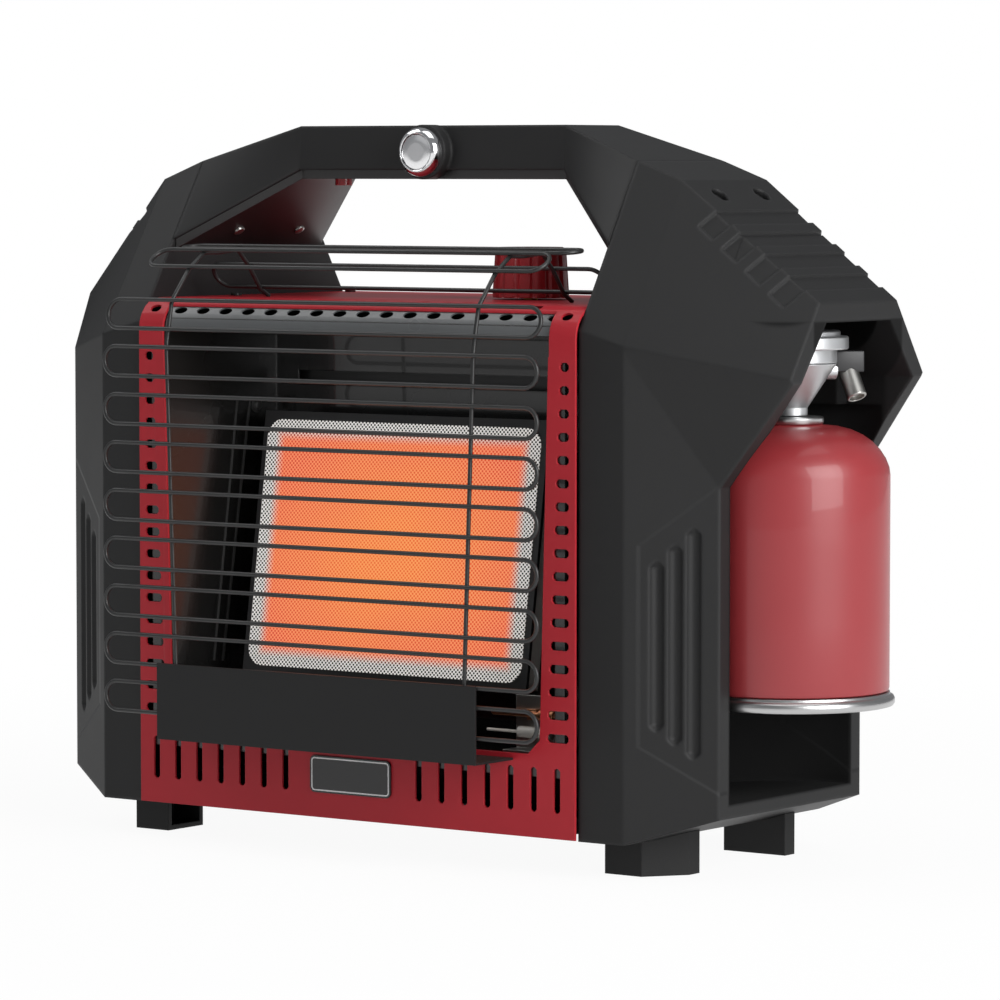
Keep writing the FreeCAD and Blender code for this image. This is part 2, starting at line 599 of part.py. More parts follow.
jet_y = 62.0
node("burner_pipe", bend_pipe([(vx, vy + 11.0, 272), (vx, 66 + 10, 272), (vx, 66 + 10, tube_z + 26),
                               (tube_x, jet_y + 14, tube_z), (tube_x, jet_y + 7, tube_z)], 3.0))
node("injector", cut(fuse(cylinder((tube_x, jet_y - 6, tube_z), 4.5, 6, "y"), cylinder((tube_x, jet_y, tube_z), 7.0, 8, "y")),
                     cylinder((tube_x, jet_y + 6.9, tube_z), 3.05, 4, "y")))
node("injector_bracket", cut(fuse(box(tube_x - 24, tube_x + 24, jet_y + 0.5, jet_y + 3.0, tube_z - 30, tube_z + 14),
                                  box(tube_x - 24, tube_x + 24, jet_y + 0.5, rear_y - V.steel, tube_z - 32.5,
                                      tube_z - 30)),
                             cylinder((tube_x, jet_y - 8, tube_z), 7.02, 30, "y")))
node("tube_collar", cut(box(tube_x - 20, tube_x + 20, shield_y + V.steel, shield_y + V.steel + 3, tube_z - 20, tube_z + 20),
                        cylinder((tube_x, -30, tube_z), 13.02, 60, "y")))

# Tip-over switch on the pan: a housing with a pendulum inside.
sx, sy, sz = -70.0, 45.0, pan_top
node("tip_switch_housing", cut(box(sx - 18, sx + 18, sy - 14, sy + 14, sz, sz + 44),
                               box(sx - 16, sx + 16, sy - 15, sy + 12, sz + 2, sz + 42),
                               cylinder((sx, sy - 20, sz + 36), 1.6, 60, "y")))
node("tip_pendulum", fuse(cylinder((sx, sy - 12, sz + 36), 1.5, 25.8, "y"), box(sx - 1.5, sx + 1.5, sy - 2, sy + 2, sz + 14, sz + 36),
                          cylinder((sx, sy - 6, sz + 12), 6.0, 12, "y")))

# Canister: drawn can with a rolled rim below and the valve cup above; it drops out as one.
cx = V.can_x
dome = [(V.can_r - 0.6, V.shoulder_z + 3), (V.can_r - 4, V.shoulder_z + 10), (46, V.shoulder_z + 15.5),
        (34, V.shoulder_z + 21), (V.collar_r + 2, V.dome_z)]
inside = [(r - 1.2, z - 1.0) for r, z in dome[:-1]]
node("canister_body", revolve([(0, V.can_low), (V.can_r - 2, V.can_low), (V.can_r, V.can_low + 2), (V.can_r, V.shoulder_z),
                               *dome, (1.5, V.dome_z), (1.5, V.dome_z - 1.5), *reversed(inside),
                               (V.can_r - 1.2, V.shoulder_z), (V.can_r - 1.2, V.can_low + 3), (0, V.can_low + 3)],
                              (cx, 0, 0)))
node("canister_rim", cut(revolve([(0, V.rim_z + 3), (V.rim_r - 3, V.rim_z), (V.rim_r - 1, V.rim_z), (V.rim_r, V.rim_z + 1.5),
                                  (V.rim_r, V.rim_z + 5), (V.rim_r - 3, V.can_low), (0, V.can_low)], (cx, 0, 0)),
                         cone((cx, 0, V.rim_z - 0.01), V.rim_r - 5, V.rim_r - 8, 4.0)))
node("canister_valve", revolve([(1.5, V.dome_z), (V.collar_r, V.dome_z), (V.collar_r, V.collar_top - 1),
                                (V.collar_r - 1, V.collar_top), (5.5, V.collar_top), (5.5, V.collar_top + 8), (1.5, V.collar_top + 8)],
                               (cx, 0, 0)))

# Regulator above it, its bracket and outlet gear.
reg_low = V.collar_top + 1.3
node("regulator_adaptor", cut(revolve([(0, reg_low), (9.2, reg_low), (9.2, reg_low + 3), (23.7, V.line_z - 5), (0, V.line_z - 5)],
                                      (cx, 0, 0)),
                              cylinder((cx, 0, reg_low - 1), 5.9, 11)))
flange_z = V.line_z + 6.0
node("regulator_body", cut(fuse(cylinder((cx, 0, V.line_z - 5), 23.7, 11.0), cylinder((cx, 0, flange_z), 32.0, 6.0)),
                           cylinder((V.can_x - 29.8, 0, V.line_z), 3.05, 8, "x")))
node("regulator_cap", fuse(cylinder((cx, 0, flange_z + 6.0), 27.6, 4.4), cone((cx, 0, flange_z + 10.4), 27.6, 24.0, 1.6),
                           *[cylinder((cx + 23.5 * math.cos(a), 23.5 * math.sin(a), flange_z + 10.4), 2.4, 2.6)
                             for a in [math.pi * i / 3 for i in range(6)]]))
node("regulator_bracket", common(cut(box(cx - 64, cx, -16, 16, flange_z + 6, flange_z + 8.5),
                                     cylinder((cx, 0, flange_z), 27.8, 20)),
                                 cylinder((cx, 0, flange_z), bay_r - 14, 20)))
node("outlet_block", cut(box(cx + 8, cx + 30, 20, 36, V.line_z - 5, V.line_z + 5.8), cylinder((cx, 0, 250), 23.8, 60)))
barrel = bind(doc.addObject("Part::Cylinder", name("Cylinder")), Radius=4.8, Height=15.0)
node("outlet_barrel", place(barrel, (cx + 19, 27.5, V.line_z - 20), (0, 1, 0), 0))


# Wire guard: nine closed loops before the front, three over the top, and two bent uprights behind them.
def loop(y, z, height, half_x, lean=0.0):
    """A stadium of wire in a plane that leans back from upright by an angle."""
    r = height / 2
    parts = []
    for s in (-1, 1):
        run = bind(doc.addObject("Part::Prism", name("Rod")), Polygon=8, Circumradius=V.wire_r,
                   Height=2 * (half_x - r))
        parts.append(place(run, (-half_x + r, 0, s * r), (0, 1, 0), 90))
        ring_points = [(r + V.wire_r * math.cos(math.radians(45 * i)), V.wire_r * math.sin(math.radians(45 * i)))
                       for i in range(8)]
        arc = doc.addObject("Part::Revolution", name("Bend"))
        arc.Source = outline(ring_points, "xz", 0.0)
        arc.Axis, arc.Base, arc.Angle, arc.Solid = FreeCAD.Vector(0, 0, 1), FreeCAD.Vector(), 180.0, True
        arc.Placement = FreeCAD.Placement(
            FreeCAD.Vector(s * (half_x - r), 0, 0),
            FreeCAD.Rotation(FreeCAD.Vector(1, 0, 0), 90) * FreeCAD.Rotation(FreeCAD.Vector(0, 0, 1), -s * 90))
        parts.append(arc)
    swing = FreeCAD.Placement(FreeCAD.Vector(0, y, z), FreeCAD.Rotation(FreeCAD.Vector(1, 0, 0), -lean))
    for part in parts:
        part.Placement = swing.multiply(part.Placement)
    return fuse(*parts)


def bent_wire(points):
    """One wire along a line of points, mitred at its bends."""
    spine = doc.addObject("Part::Polygon", name("Line"))
    spine.Nodes = [FreeCAD.Vector(*p) for p in points]
    ring_line = bind(doc.addObject("Part::RegularPolygon", name("Ring")), Polygon=8, Circumradius=V.wire_r)
    place(ring_line, points[0])
    made = doc.addObject("Part::Sweep", name("Wire"))
    made.Sections, made.Solid, made.Transition = [ring_line], True, "Right corner"
    made.Spine = (spine, [f"Edge{i + 1}" for i in range(len(points) - 1)])
    return made


wires = []
mid = V.loop_top - V.loop_h / 2
for i in range(8):
    wires.append(loop(-V.loop_y, mid - V.loop_pitch * i, V.loop_h, V.loop_x))
over_top = [(-131.8, mid + V.loop_pitch - 0.5, 12), (-118.5, 334.0, 52), (-85.0, 341.0, 90), (-60.0, 326.0, 133)]
weld = 2 * V.wire_r
back = V.loop_y - weld
arch = [(-back, V.loop_top)]
for y, z, lean in over_top:
    wires.append(loop(y, z, V.loop_h, V.loop_x, lean))
    sin, cos = math.sin(math.radians(lean)), math.cos(math.radians(lean))
    arch += [(y + end * sin * V.loop_h / 2 + cos * weld, z + end * cos * V.loop_h / 2 - sin * weld)
             for end in (-1, 1)]
arch += [(-46, V.deck_z + 3), (-40, V.deck_z + V.wire_r), (-32, V.deck_z + V.wire_r)]
for s in (-1, 1):
    x_low, x_top = s * (V.upright_x - V.upright_lean), s * V.upright_x
    wires.append(bent_wire([(x_low, -back, 63.9)] + [(x_top, *p) for p in arch]))
grille = doc.addObject("Part::Compound", name("Grille"))
grille.Links = wires
node("guard_grille", grille)
plate_y = V.loop_y + V.wire_r
node("guard_plate", fuse(box(-112.5, 112.5, -plate_y - 1.2, -plate_y, 65.6, 106.0),
                         box(-112.5, 112.5, -plate_y, -V.front_y, 62.5, 63.7),
                         box(-112.5, 112.5, -plate_y - 1.2, -plate_y, 62.5, 66)))
def deck_screw(x, y):
    return cut(fuse(cylinder((x, y, V.deck_z), 3.2, 1.6)), box(x - 2.4, x + 2.4, y - 0.4, y + 0.4, V.deck_z + 0.9, V.deck_z + 3))


node("deck_screws", fuse(*[deck_screw(x, y) for x in (-140, 140) for y in (-30, 80)]))
node("rear_screws", fuse(*[cylinder((x, rear_y, z), 3.4, 1.6, "y") for x in (-146, 146) for z in (34, 166, 298)]))

doc.recompute()

# The whole is moved so that the origin lies under the middle of its box.
whole = FreeCAD.BoundBox()
for obj in NODES:
    whole.add(obj.Shape.BoundBox)
shift = FreeCAD.Vector(-(whole.XMin + whole.XMax) / 2, -(whole.YMin + whole.YMax) / 2, -whole.ZMin)
problems = []
for obj in doc.Objects:
    states = [s for s in obj.State if s in ("Invalid", "Error")]
    if states:
        problems.append(f"{obj.Label}: {states}")
for obj in NODES:
    obj.Placement = FreeCAD.Placement(shift, FreeCAD.Rotation()).multiply(obj.Placement)
doc.recompute()
for obj in NODES:
    if obj.Shape.isNull() or not obj.Shape.isValid() or not obj.Shape.Solids:
        problems.append(f"{obj.Label}: bad shape")
        continue
    print(f"{obj.Label:22s} solids {len(obj.Shape.Solids):3d} volume {obj.Shape.Volume:10.0f}")
    obj.Shape.exportStep(os.path.join("parts", obj.Label + ".step"))
print("nodes", len(NODES), "shift", [round(v, 4) for v in shift])
if problems:
    raise SystemExit("\n".join(problems))
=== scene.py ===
# %% [markdown]
# A portable radiant heater, dressed for its picture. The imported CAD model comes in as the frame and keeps
# its size and its joints. What follows paints its parts and adds the pieces that need rounder or finer
# modelling than the frame has: the wire guard, the canister, the regulator, the knob and the burner face.

# %% Load the frame and keep its size
import bpy
import math
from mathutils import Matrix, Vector


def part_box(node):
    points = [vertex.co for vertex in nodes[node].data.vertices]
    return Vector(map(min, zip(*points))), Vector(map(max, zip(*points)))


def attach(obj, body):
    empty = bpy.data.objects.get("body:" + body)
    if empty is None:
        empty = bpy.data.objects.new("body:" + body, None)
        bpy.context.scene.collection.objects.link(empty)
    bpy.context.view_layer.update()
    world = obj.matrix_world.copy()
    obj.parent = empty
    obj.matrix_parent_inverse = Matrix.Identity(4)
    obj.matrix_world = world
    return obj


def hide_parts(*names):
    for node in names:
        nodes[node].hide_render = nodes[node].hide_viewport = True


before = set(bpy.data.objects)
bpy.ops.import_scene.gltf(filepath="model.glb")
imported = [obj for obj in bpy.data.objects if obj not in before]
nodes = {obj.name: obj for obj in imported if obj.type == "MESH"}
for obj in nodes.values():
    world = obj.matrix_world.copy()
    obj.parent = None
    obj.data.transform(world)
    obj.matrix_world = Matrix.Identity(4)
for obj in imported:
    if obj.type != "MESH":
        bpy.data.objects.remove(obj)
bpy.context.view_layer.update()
MM = 0.001

# %% [markdown]
# The design was drawn about the middle of the front panel. The frame's origin is the middle of the whole
# box, so one offset, read from the badge plate, takes a design place to its place in the frame. The badge
# plate is used because it is small, flat and in the middle of the front.

# %% Places in the frame
BADGE_BACK = 102.2  # how far the plate's back lies in front of the design's middle, in mm
CAN_X = 227.8  # the canister's axis, in design mm
badge_low, badge_high = (Vector(c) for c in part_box("badge_plate"))
panel_low, panel_high = (Vector(c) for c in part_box("front_panel"))
CENTRE_X = (badge_low.x + badge_high.x) / 2
CENTRE_Y = badge_high.y + BADGE_BACK * MM


def at(x, y, z):
    """A design place in millimetres, as a place in the frame."""
    return Vector((CENTRE_X + x * MM, CENTRE_Y + y * MM, z * MM))


print("design offset", round(CENTRE_X, 4), round(CENTRE_Y, 4))
print("front panel", [round(side / MM, 1) for side in panel_high - panel_low], "mm")

# %% [markdown]
# Materials are drawn with nodes, and the same few moves come back in each: a sum, a soft step between two
# values, a mix of two colours. Each gets a short helper here, so that a finish further down reads as what
# it looks like and not as wiring.

# %% Helpers for nodes


def new_group(title, inputs, outputs):
    group = bpy.data.node_groups.new(title, "ShaderNodeTree")
    for kind, label, value in inputs:
        socket = group.interface.new_socket(label, in_out="INPUT", socket_type=kind)
        if value is not None:
            socket.default_value = value
    for kind, label in outputs:
        group.interface.new_socket(label, in_out="OUTPUT", socket_type=kind)
    return group, group.nodes.new("NodeGroupInput"), group.nodes.new("NodeGroupOutput")


def node(tree, kind, **settings):
    made = tree.nodes.new(kind)
    for key, value in settings.items():
        if key in made.inputs:
            made.inputs[key].default_value = value
        else:
            setattr(made, key, value)
    return made


def scalar(tree, operation, a, b=None, c=None):
    """A Math node on sockets or plain numbers."""
    made = node(tree, "ShaderNodeMath", operation=operation)
    for i, value in enumerate((a, b, c)):
        if isinstance(value, (int, float)):
            made.inputs[i].default_value = value
        elif value is not None:
            tree.links.new(value, made.inputs[i])
    return made.outputs[0]


def soft_step(tree, value, low, high, start=0.0, end=1.0):
    """Goes smoothly from start to end while the value goes from low to high."""
    made = node(tree, "ShaderNodeMapRange", interpolation_type="SMOOTHSTEP")
    made.inputs["From Min"].default_value, made.inputs["From Max"].default_value = low, high
    made.inputs["To Min"].default_value, made.inputs["To Max"].default_value = start, end
    tree.links.new(value, made.inputs["Value"])
    return made.outputs["Result"]


def blend(tree, share, first, second):
    """A mix of two colours, each a socket or a plain colour."""
    made = node(tree, "ShaderNodeMix", data_type="RGBA")
    tree.links.new(share, made.inputs["Factor"])
    for index, colour in ((6, first), (7, second)):
        if isinstance(colour, tuple):
            made.inputs[index].default_value = colour
        else:
            tree.links.new(colour, made.inputs[index])
    return made.outputs[2]


print("node helpers ready")

# %% [markdown]
# Moulded plastic and powder coat have a fine grain. On the real parts it comes from the spark-worn mould
# or from the powder as it melts. Here it is noise on Object coordinates, so it stays on the surface, given
# out as a bumped normal and as a value that varies the roughness. A Bevel node inside softens hard edges
# in the shading, as a mould or a press does on the real parts.

# %% The shared surface grain
grain_group, g_in, g_out = new_group(
    "surface_grain",
    [("NodeSocketFloat", "Size", 900.0), ("NodeSocketFloat", "Depth", 0.2), ("NodeSocketFloat", "Edge", 0.0009)],
    [("NodeSocketFloat", "Variation"), ("NodeSocketVector", "Normal"), ("NodeSocketFloat", "Edge mask")])
coords = node(grain_group, "ShaderNodeTexCoord")
fine = node(grain_group, "ShaderNodeTexNoise", Detail=3.0, Roughness=0.6)
broad = node(grain_group, "ShaderNodeTexNoise", Scale=9.0, Detail=4.0, Roughness=0.55)
soft_edge = node(grain_group, "ShaderNodeBevel", samples=6)
bump = node(grain_group, "ShaderNodeBump", Distance=0.0002)
geometry = node(grain_group, "ShaderNodeNewGeometry")
dot = node(grain_group, "ShaderNodeVectorMath", operation="DOT_PRODUCT")
# The edge mask marks where the softened normal leaves the true one; the finishes lighten their colour there as a
# painted highlight on rounded edges.
edge_mask = node(grain_group, "ShaderNodeMapRange")
edge_mask.inputs["From Min"].default_value = 0.995
edge_mask.inputs["From Max"].default_value = 0.90
link = grain_group.links.new
link(coords.outputs["Object"], fine.inputs["Vector"])
link(coords.outputs["Object"], broad.inputs["Vector"])
link(g_in.outputs["Size"], fine.inputs["Scale"])
link(g_in.outputs["Edge"], soft_edge.inputs["Radius"])
link(fine.outputs["Fac"], bump.inputs["Height"])
link(g_in.outputs["Depth"], bump.inputs["Strength"])
link(soft_edge.outputs["Normal"], bump.inputs["Normal"])
link(soft_edge.outputs["Normal"], dot.inputs[0])
link(geometry.outputs["True Normal"], dot.inputs[1])
link(dot.outputs["Value"], edge_mask.inputs["Value"])
link(broad.outputs["Fac"], g_out.inputs["Variation"])
link(bump.outputs["Normal"], g_out.inputs["Normal"])
link(edge_mask.outputs["Result"], g_out.inputs["Edge mask"])
print("surface grain group has", len(grain_group.nodes), "nodes")

# %% [markdown]
# One helper writes a finish: a base colour that drifts a little between two shades, a lighter colour on its
# edges that is a painted highlight, a roughness that varies about its value, and the grain's normal. Metals,
# plastics and paints differ only in the numbers.

# %% The helper that writes a finish


def finish(title, shade, second=None, rough=0.5, rough_span=0.08, metal=0.0, grain=900.0, depth=0.2,
           edge=0.0009, edge_highlight=0.25, edge_highlight_colour=None, coat=0.0, specular=0.5):
    """A material with the shared grain; shade, second and the edges' painted highlight colour are linear colours.
    """
    material = bpy.data.materials.new(title)
    material.use_nodes = True
    tree = material.node_tree
    shader = tree.nodes["Principled BSDF"]
    group = node(tree, "ShaderNodeGroup")
    group.node_tree = grain_group
    group.inputs["Size"].default_value = grain
    group.inputs["Depth"].default_value = depth
    group.inputs["Edge"].default_value = edge
    second = second or tuple(min(1.0, c * 1.25 + 0.002) for c in shade)
    edge_highlight_colour = edge_highlight_colour or tuple(min(1.0, c * 1.8 + 0.02) for c in shade)
    drift = blend(tree, group.outputs["Variation"], (*shade, 1), (*second, 1))
    # The edges' colour is lightened here, a painted highlight of the rounded edge.
    edge_highlight_share = scalar(tree, "MULTIPLY", group.outputs["Edge mask"], edge_highlight)
    rough_range = node(tree, "ShaderNodeMapRange")
    rough_range.inputs["To Min"].default_value = rough - rough_span
    rough_range.inputs["To Max"].default_value = rough + rough_span
    tree.links.new(blend(tree, edge_highlight_share, drift, (*edge_highlight_colour, 1)), shader.inputs["Base Color"])
    tree.links.new(group.outputs["Variation"], rough_range.inputs["Value"])
    tree.links.new(rough_range.outputs["Result"], shader.inputs["Roughness"])
    tree.links.new(group.outputs["Normal"], shader.inputs["Normal"])
    shader.inputs["Metallic"].default_value = metal
    shader.inputs["Coat Weight"].default_value = coat
    shader.inputs["Specular IOR Level"].default_value = specular
    return material


print("finish helper ready")

# %% [markdown]
# The colours are read off the heater: near-black moulded shells with a fine spark grain, a deep
# red powder coat on the front, black enamel inside, and the bright parts of tinplate, die casting and
# chrome. Linear values are used, so they look smaller than the same colour on a screen.

# %% The heater's finishes
# In each finish the lighter edge colour and its share are a painted highlight on rounded edges.
shell_black = finish("shell_black", (0.0115, 0.0115, 0.0117), (0.0145, 0.0145, 0.0148), rough=0.52, grain=1500,
                     depth=0.22, edge=0.0028, edge_highlight=0.30, edge_highlight_colour=(0.035, 0.035, 0.036), specular=0.3)
liner_black = finish("liner_black", (0.013, 0.013, 0.014), rough=0.42, grain=1500, depth=0.1)
foot_black = finish("foot_black", (0.0078, 0.0078, 0.0080), rough=0.6, grain=1200, depth=0.25, edge=0.0012,
                    specular=0.3)
front_red = finish("front_red", (0.40, 0.018, 0.027), (0.45, 0.022, 0.033), rough=0.40, grain=2200, depth=0.10,
                   edge=0.0006, edge_highlight=0.2, edge_highlight_colour=(0.55, 0.06, 0.07), specular=0.25)
steel_black = finish("steel_black", (0.010, 0.0102, 0.0105), rough=0.46, grain=2000, depth=0.16, edge=0.0005)
plate_black = finish("plate_black", (0.0080, 0.0080, 0.0082), rough=0.55, grain=2400, depth=0.12, edge=0.0004,
                     specular=0.3)
wire_black = finish("wire_black", (0.0120, 0.0125, 0.0125), rough=0.38, grain=2500, depth=0.08, edge=0.0003,
                    edge_highlight=0.1)
chamber_black = finish("chamber_black", (0.0050, 0.0050, 0.0050), (0.0090, 0.0086, 0.0080), rough=0.26,
                       rough_span=0.1, grain=60, depth=0.03, edge=0.0015, coat=0.3)
zinc_steel = finish("zinc_steel", (0.40, 0.40, 0.39), (0.50, 0.49, 0.46), rough=0.34, metal=1.0, grain=700,
                    depth=0.06, edge=0.0004)
cast_grey = finish("cast_grey", (0.50, 0.51, 0.52), (0.60, 0.61, 0.62), rough=0.38, metal=0.9, grain=2600,
                   depth=0.2, edge=0.0006)
brass = finish("brass", (0.58, 0.38, 0.13), (0.66, 0.45, 0.18), rough=0.28, metal=1.0, grain=900, depth=0.05)
copper_pipe = finish("copper_pipe", (0.54, 0.25, 0.13), (0.44, 0.19, 0.10), rough=0.3, metal=1.0, grain=500,
                     depth=0.05)
knob_red = finish("knob_red", (0.36, 0.016, 0.022), (0.42, 0.022, 0.03), rough=0.3, grain=1800, depth=0.05,
                  edge=0.0006, coat=0.3)
chrome = finish("chrome", (0.78, 0.78, 0.79), (0.82, 0.82, 0.83), rough=0.10, rough_span=0.03, metal=1.0,
                grain=400, depth=0.01, edge=0.0004)
button_silver = finish("button_silver", (0.80, 0.80, 0.81), (0.86, 0.86, 0.87), rough=0.20, rough_span=0.05,
                       metal=1.0, grain=1400, depth=0.03, edge=0.0004)
can_red = finish("can_red", (0.270, 0.026, 0.030), (0.30, 0.030, 0.035), rough=0.38, rough_span=0.05, grain=1200,
                 depth=0.03, edge=0.0006, coat=0.2)
can_silver = finish("can_silver", (0.46, 0.46, 0.46), (0.56, 0.56, 0.56), rough=0.30, metal=1.0, grain=500,
                    depth=0.05)
insulator = finish("insulator", (0.62, 0.60, 0.55), rough=0.25, grain=300, depth=0.02, coat=0.4)
gasket_white = finish("gasket_white", (0.55, 0.53, 0.49), (0.64, 0.62, 0.58), rough=0.9, grain=700, depth=0.6)
badge_gloss = finish("badge_gloss", (0.006, 0.006, 0.0065), rough=0.22, grain=1200, depth=0.03, edge=0.0003)
badge_line = finish("badge_line", (0.70, 0.70, 0.70), rough=0.4, grain=1200, depth=0.03, edge=0.0001)
# The lip's grey is a painted highlight on the chamber's black polished sheet.
lip_painted_highlight = finish("lip_painted_highlight", (0.085, 0.090, 0.092), (0.12, 0.125, 0.128), rough=0.30, grain=500, depth=0.04,
                  edge=0.0003, specular=0.6)
# The ribs' grey is a painted highlight along the chamber wall's folds; the wall screw uses it as its own grey.
rib_grey = finish("rib_grey", (0.030, 0.030, 0.030), (0.045, 0.044, 0.042), rough=0.4, grain=900, depth=0.08,
                  edge=0.0003)
lining_gloss = finish("lining_gloss", (0.010, 0.009, 0.009), rough=0.34, grain=1500, depth=0.06, edge=0.0008,
                      specular=0.6)
screw_black = finish("screw_black", (0.016, 0.016, 0.016), rough=0.35, metal=0.4, grain=900, depth=0.08)
print("finishes", len(bpy.data.materials))

# %% [markdown]
# Round the side flutes lies a field that the mould presses in by less than a millimetre. That is too
# little to model, so a soft step in a bump draws its rim. The rim's two slopes are straight lines in x
# and z, and both sides share them through the size of x.

# %% The sunk field round the flutes
FIELD_TOP = (0.87, 0.1924, 0.1848)  # slope of the upper rim, and an x and z that it passes, in metres
FIELD_FOOT = (-0.683, 0.1926, 0.0731)  # the same for the lower rim
FIELD_SIDE = (0.1895, 0.1925)  # where the field begins, from the design's middle
RIM = 0.0015
tree = shell_black.node_tree
shader = tree.nodes["Principled BSDF"]
coords = node(tree, "ShaderNodeTexCoord")
local = node(tree, "ShaderNodeVectorMath", operation="SUBTRACT")
local.inputs[1].default_value = (CENTRE_X, CENTRE_Y, 0)
tree.links.new(coords.outputs["Object"], local.inputs[0])
split = node(tree, "ShaderNodeSeparateXYZ")
tree.links.new(local.outputs[0], split.inputs[0])
x, y, z = (split.outputs[i] for i in "XYZ")
reach = scalar(tree, "ABSOLUTE", x)
top, foot = (scalar(tree, "MULTIPLY_ADD", reach, slope, rim_z - slope * rim_x)
             for slope, rim_x, rim_z in (FIELD_TOP, FIELD_FOOT))
sunk = scalar(tree, "MINIMUM", soft_step(tree, scalar(tree, "SUBTRACT", top, z), -RIM, RIM),
              soft_step(tree, scalar(tree, "SUBTRACT", z, foot), -RIM, RIM))
sunk = scalar(tree, "MINIMUM", sunk, soft_step(tree, reach, *FIELD_SIDE))
step = node(tree, "ShaderNodeBump", Strength=0.5, Distance=0.0009, invert=True)
tree.links.new(sunk, step.inputs["Height"])
tree.links.new(shader.inputs["Normal"].links[0].from_socket, step.inputs["Normal"])
tree.links.new(step.outputs["Normal"], shader.inputs["Normal"])
print("field rims", FIELD_TOP, FIELD_FOOT)

# %% [markdown]
# The bay behind the canister lies in shade, and that shade is painted: a mask round the canister's axis
# finds the bay's wall, darkens the shells' colour there and makes them duller.

# %% Painted shade in the bay behind the canister
BAY_WALL = (0.0640, 0.0620)  # radius outside and inside the bay's wall, in metres
BAY_FLOOR, BAY_ROOF = (0.0400, 0.0424), (0.3060, 0.3042)
# The bay's near-black colour is painted shade; its dullness is a rise in roughness.
BAY_PAINTED_SHADE, BAY_DULL = (0.0022, 0.0022, 0.0023, 1), 0.35
from_axis = [scalar(tree, "POWER", side, 2.0) for side in (scalar(tree, "SUBTRACT", x, CAN_X * MM), y)]
from_can = scalar(tree, "SQRT", scalar(tree, "ADD", *from_axis))
bay_shade_mask = scalar(tree, "MINIMUM", soft_step(tree, from_can, *BAY_WALL), soft_step(tree, z, *BAY_FLOOR))
bay_shade_mask = scalar(tree, "MINIMUM", bay_shade_mask, soft_step(tree, z, *BAY_ROOF))
colour, roughness = (shader.inputs[label].links[0].from_socket for label in ("Base Color", "Roughness"))
# Painted shade: the shells' colour goes near black inside the bay.
tree.links.new(blend(tree, bay_shade_mask, colour, BAY_PAINTED_SHADE), shader.inputs["Base Color"])
tree.links.new(scalar(tree, "MULTIPLY_ADD", bay_shade_mask, BAY_DULL, roughness), shader.inputs["Roughness"])
print("shell finish nodes", len(tree.nodes))

# %% [markdown]
# The burner's face is a pale perforated screen over a ceramic tile that glows orange. Its holes are drawn
# in the shader: two cosines across the screen's own diagonals peak at the corners of a staggered grid,
# and a threshold makes round dots of them. Near the rim the tile is cool: there the holes are painted black
# for the shade seen through them, and the white screen gets a faint painted glow; further in the tile lights both.

# %% The screen's holes and its heat
TILT = math.radians(8.6)
tile_middle = at(0, -63.4, 172.0)
HOLE_PITCH = 2.5 * MM
SCREEN_W, SCREEN_H = 194 * MM, 145 * MM
COOL_RIM = (5.5 * MM, 14 * MM)  # where the glow begins and where it is whole, in from the edge
HOT_W, HOT_H = 0.085, 0.062  # half the size of the hot middle, in metres
screen_glow = bpy.data.materials.new("screen_glow")
screen_glow.use_nodes = True
tree = screen_glow.node_tree
shader = tree.nodes["Principled BSDF"]
coords = node(tree, "ShaderNodeTexCoord")
upright = node(tree, "ShaderNodeMapping", vector_type="TEXTURE")
upright.inputs["Location"].default_value = tile_middle
upright.inputs["Rotation"].default_value = (-TILT, 0, 0)
tree.links.new(coords.outputs["Object"], upright.inputs["Vector"])
split = node(tree, "ShaderNodeSeparateXYZ")
tree.links.new(upright.outputs["Vector"], split.inputs[0])
x, z = split.outputs["X"], split.outputs["Z"]
turn = 2 * math.pi / HOLE_PITCH
waves = [scalar(tree, "COSINE", scalar(tree, "MULTIPLY", scalar(tree, way, x, z), turn))
         for way in ("ADD", "SUBTRACT")]
holes = soft_step(tree, scalar(tree, "ADD", *waves), -0.05, 0.45)
from_side = scalar(tree, "SUBTRACT", SCREEN_W / 2, scalar(tree, "ABSOLUTE", x))
from_end = scalar(tree, "SUBTRACT", SCREEN_H / 2, scalar(tree, "ABSOLUTE", z))
lit = soft_step(tree, scalar(tree, "SMOOTH_MIN", from_side, from_end, 0.004), *COOL_RIM)
blotch = node(tree, "ShaderNodeTexNoise", Scale=14.0, Detail=2.0)
tree.links.new(upright.outputs["Vector"], blotch.inputs["Vector"])
squares = [scalar(tree, "POWER", scalar(tree, "DIVIDE", side, half_size), 2.0)
           for side, half_size in ((x, HOT_W), (z, HOT_H))]
radius = scalar(tree, "SQRT", scalar(tree, "ADD", *squares))
patches = scalar(tree, "MULTIPLY", scalar(tree, "SUBTRACT", blotch.outputs["Fac"], 0.5), 0.9)
heat = scalar(tree, "ADD", scalar(tree, "SUBTRACT", 1.25, radius), patches)
print("holes along a row", round(SCREEN_W / HOLE_PITCH))

# %% [markdown]
# Seen from in front, a glowing burner is deep orange in the holes and paler on the wires between them.
# Both colours follow the heat, so the middle is brightest, and the rim stays pale steel, with a grey glow
# on its wires that is a painted highlight and its holes painted black as shade.

# %% The screen's colours


def ramp(tree, value, low, high):
    """A colour ramp from the first colour to the second."""
    made = node(tree, "ShaderNodeValToRGB")
    made.color_ramp.elements[0].color, made.color_ramp.elements[1].color = low, high
    tree.links.new(value, made.inputs["Fac"])
    return made.outputs["Color"]


hole_glow = ramp(tree, heat, (0.66, 0.040, 0.010, 1), (0.80, 0.12, 0.014, 1))
mesh_glow = ramp(tree, heat, (0.86, 0.27, 0.13, 1), (0.90, 0.34, 0.11, 1))
glow = blend(tree, holes, mesh_glow, hole_glow)
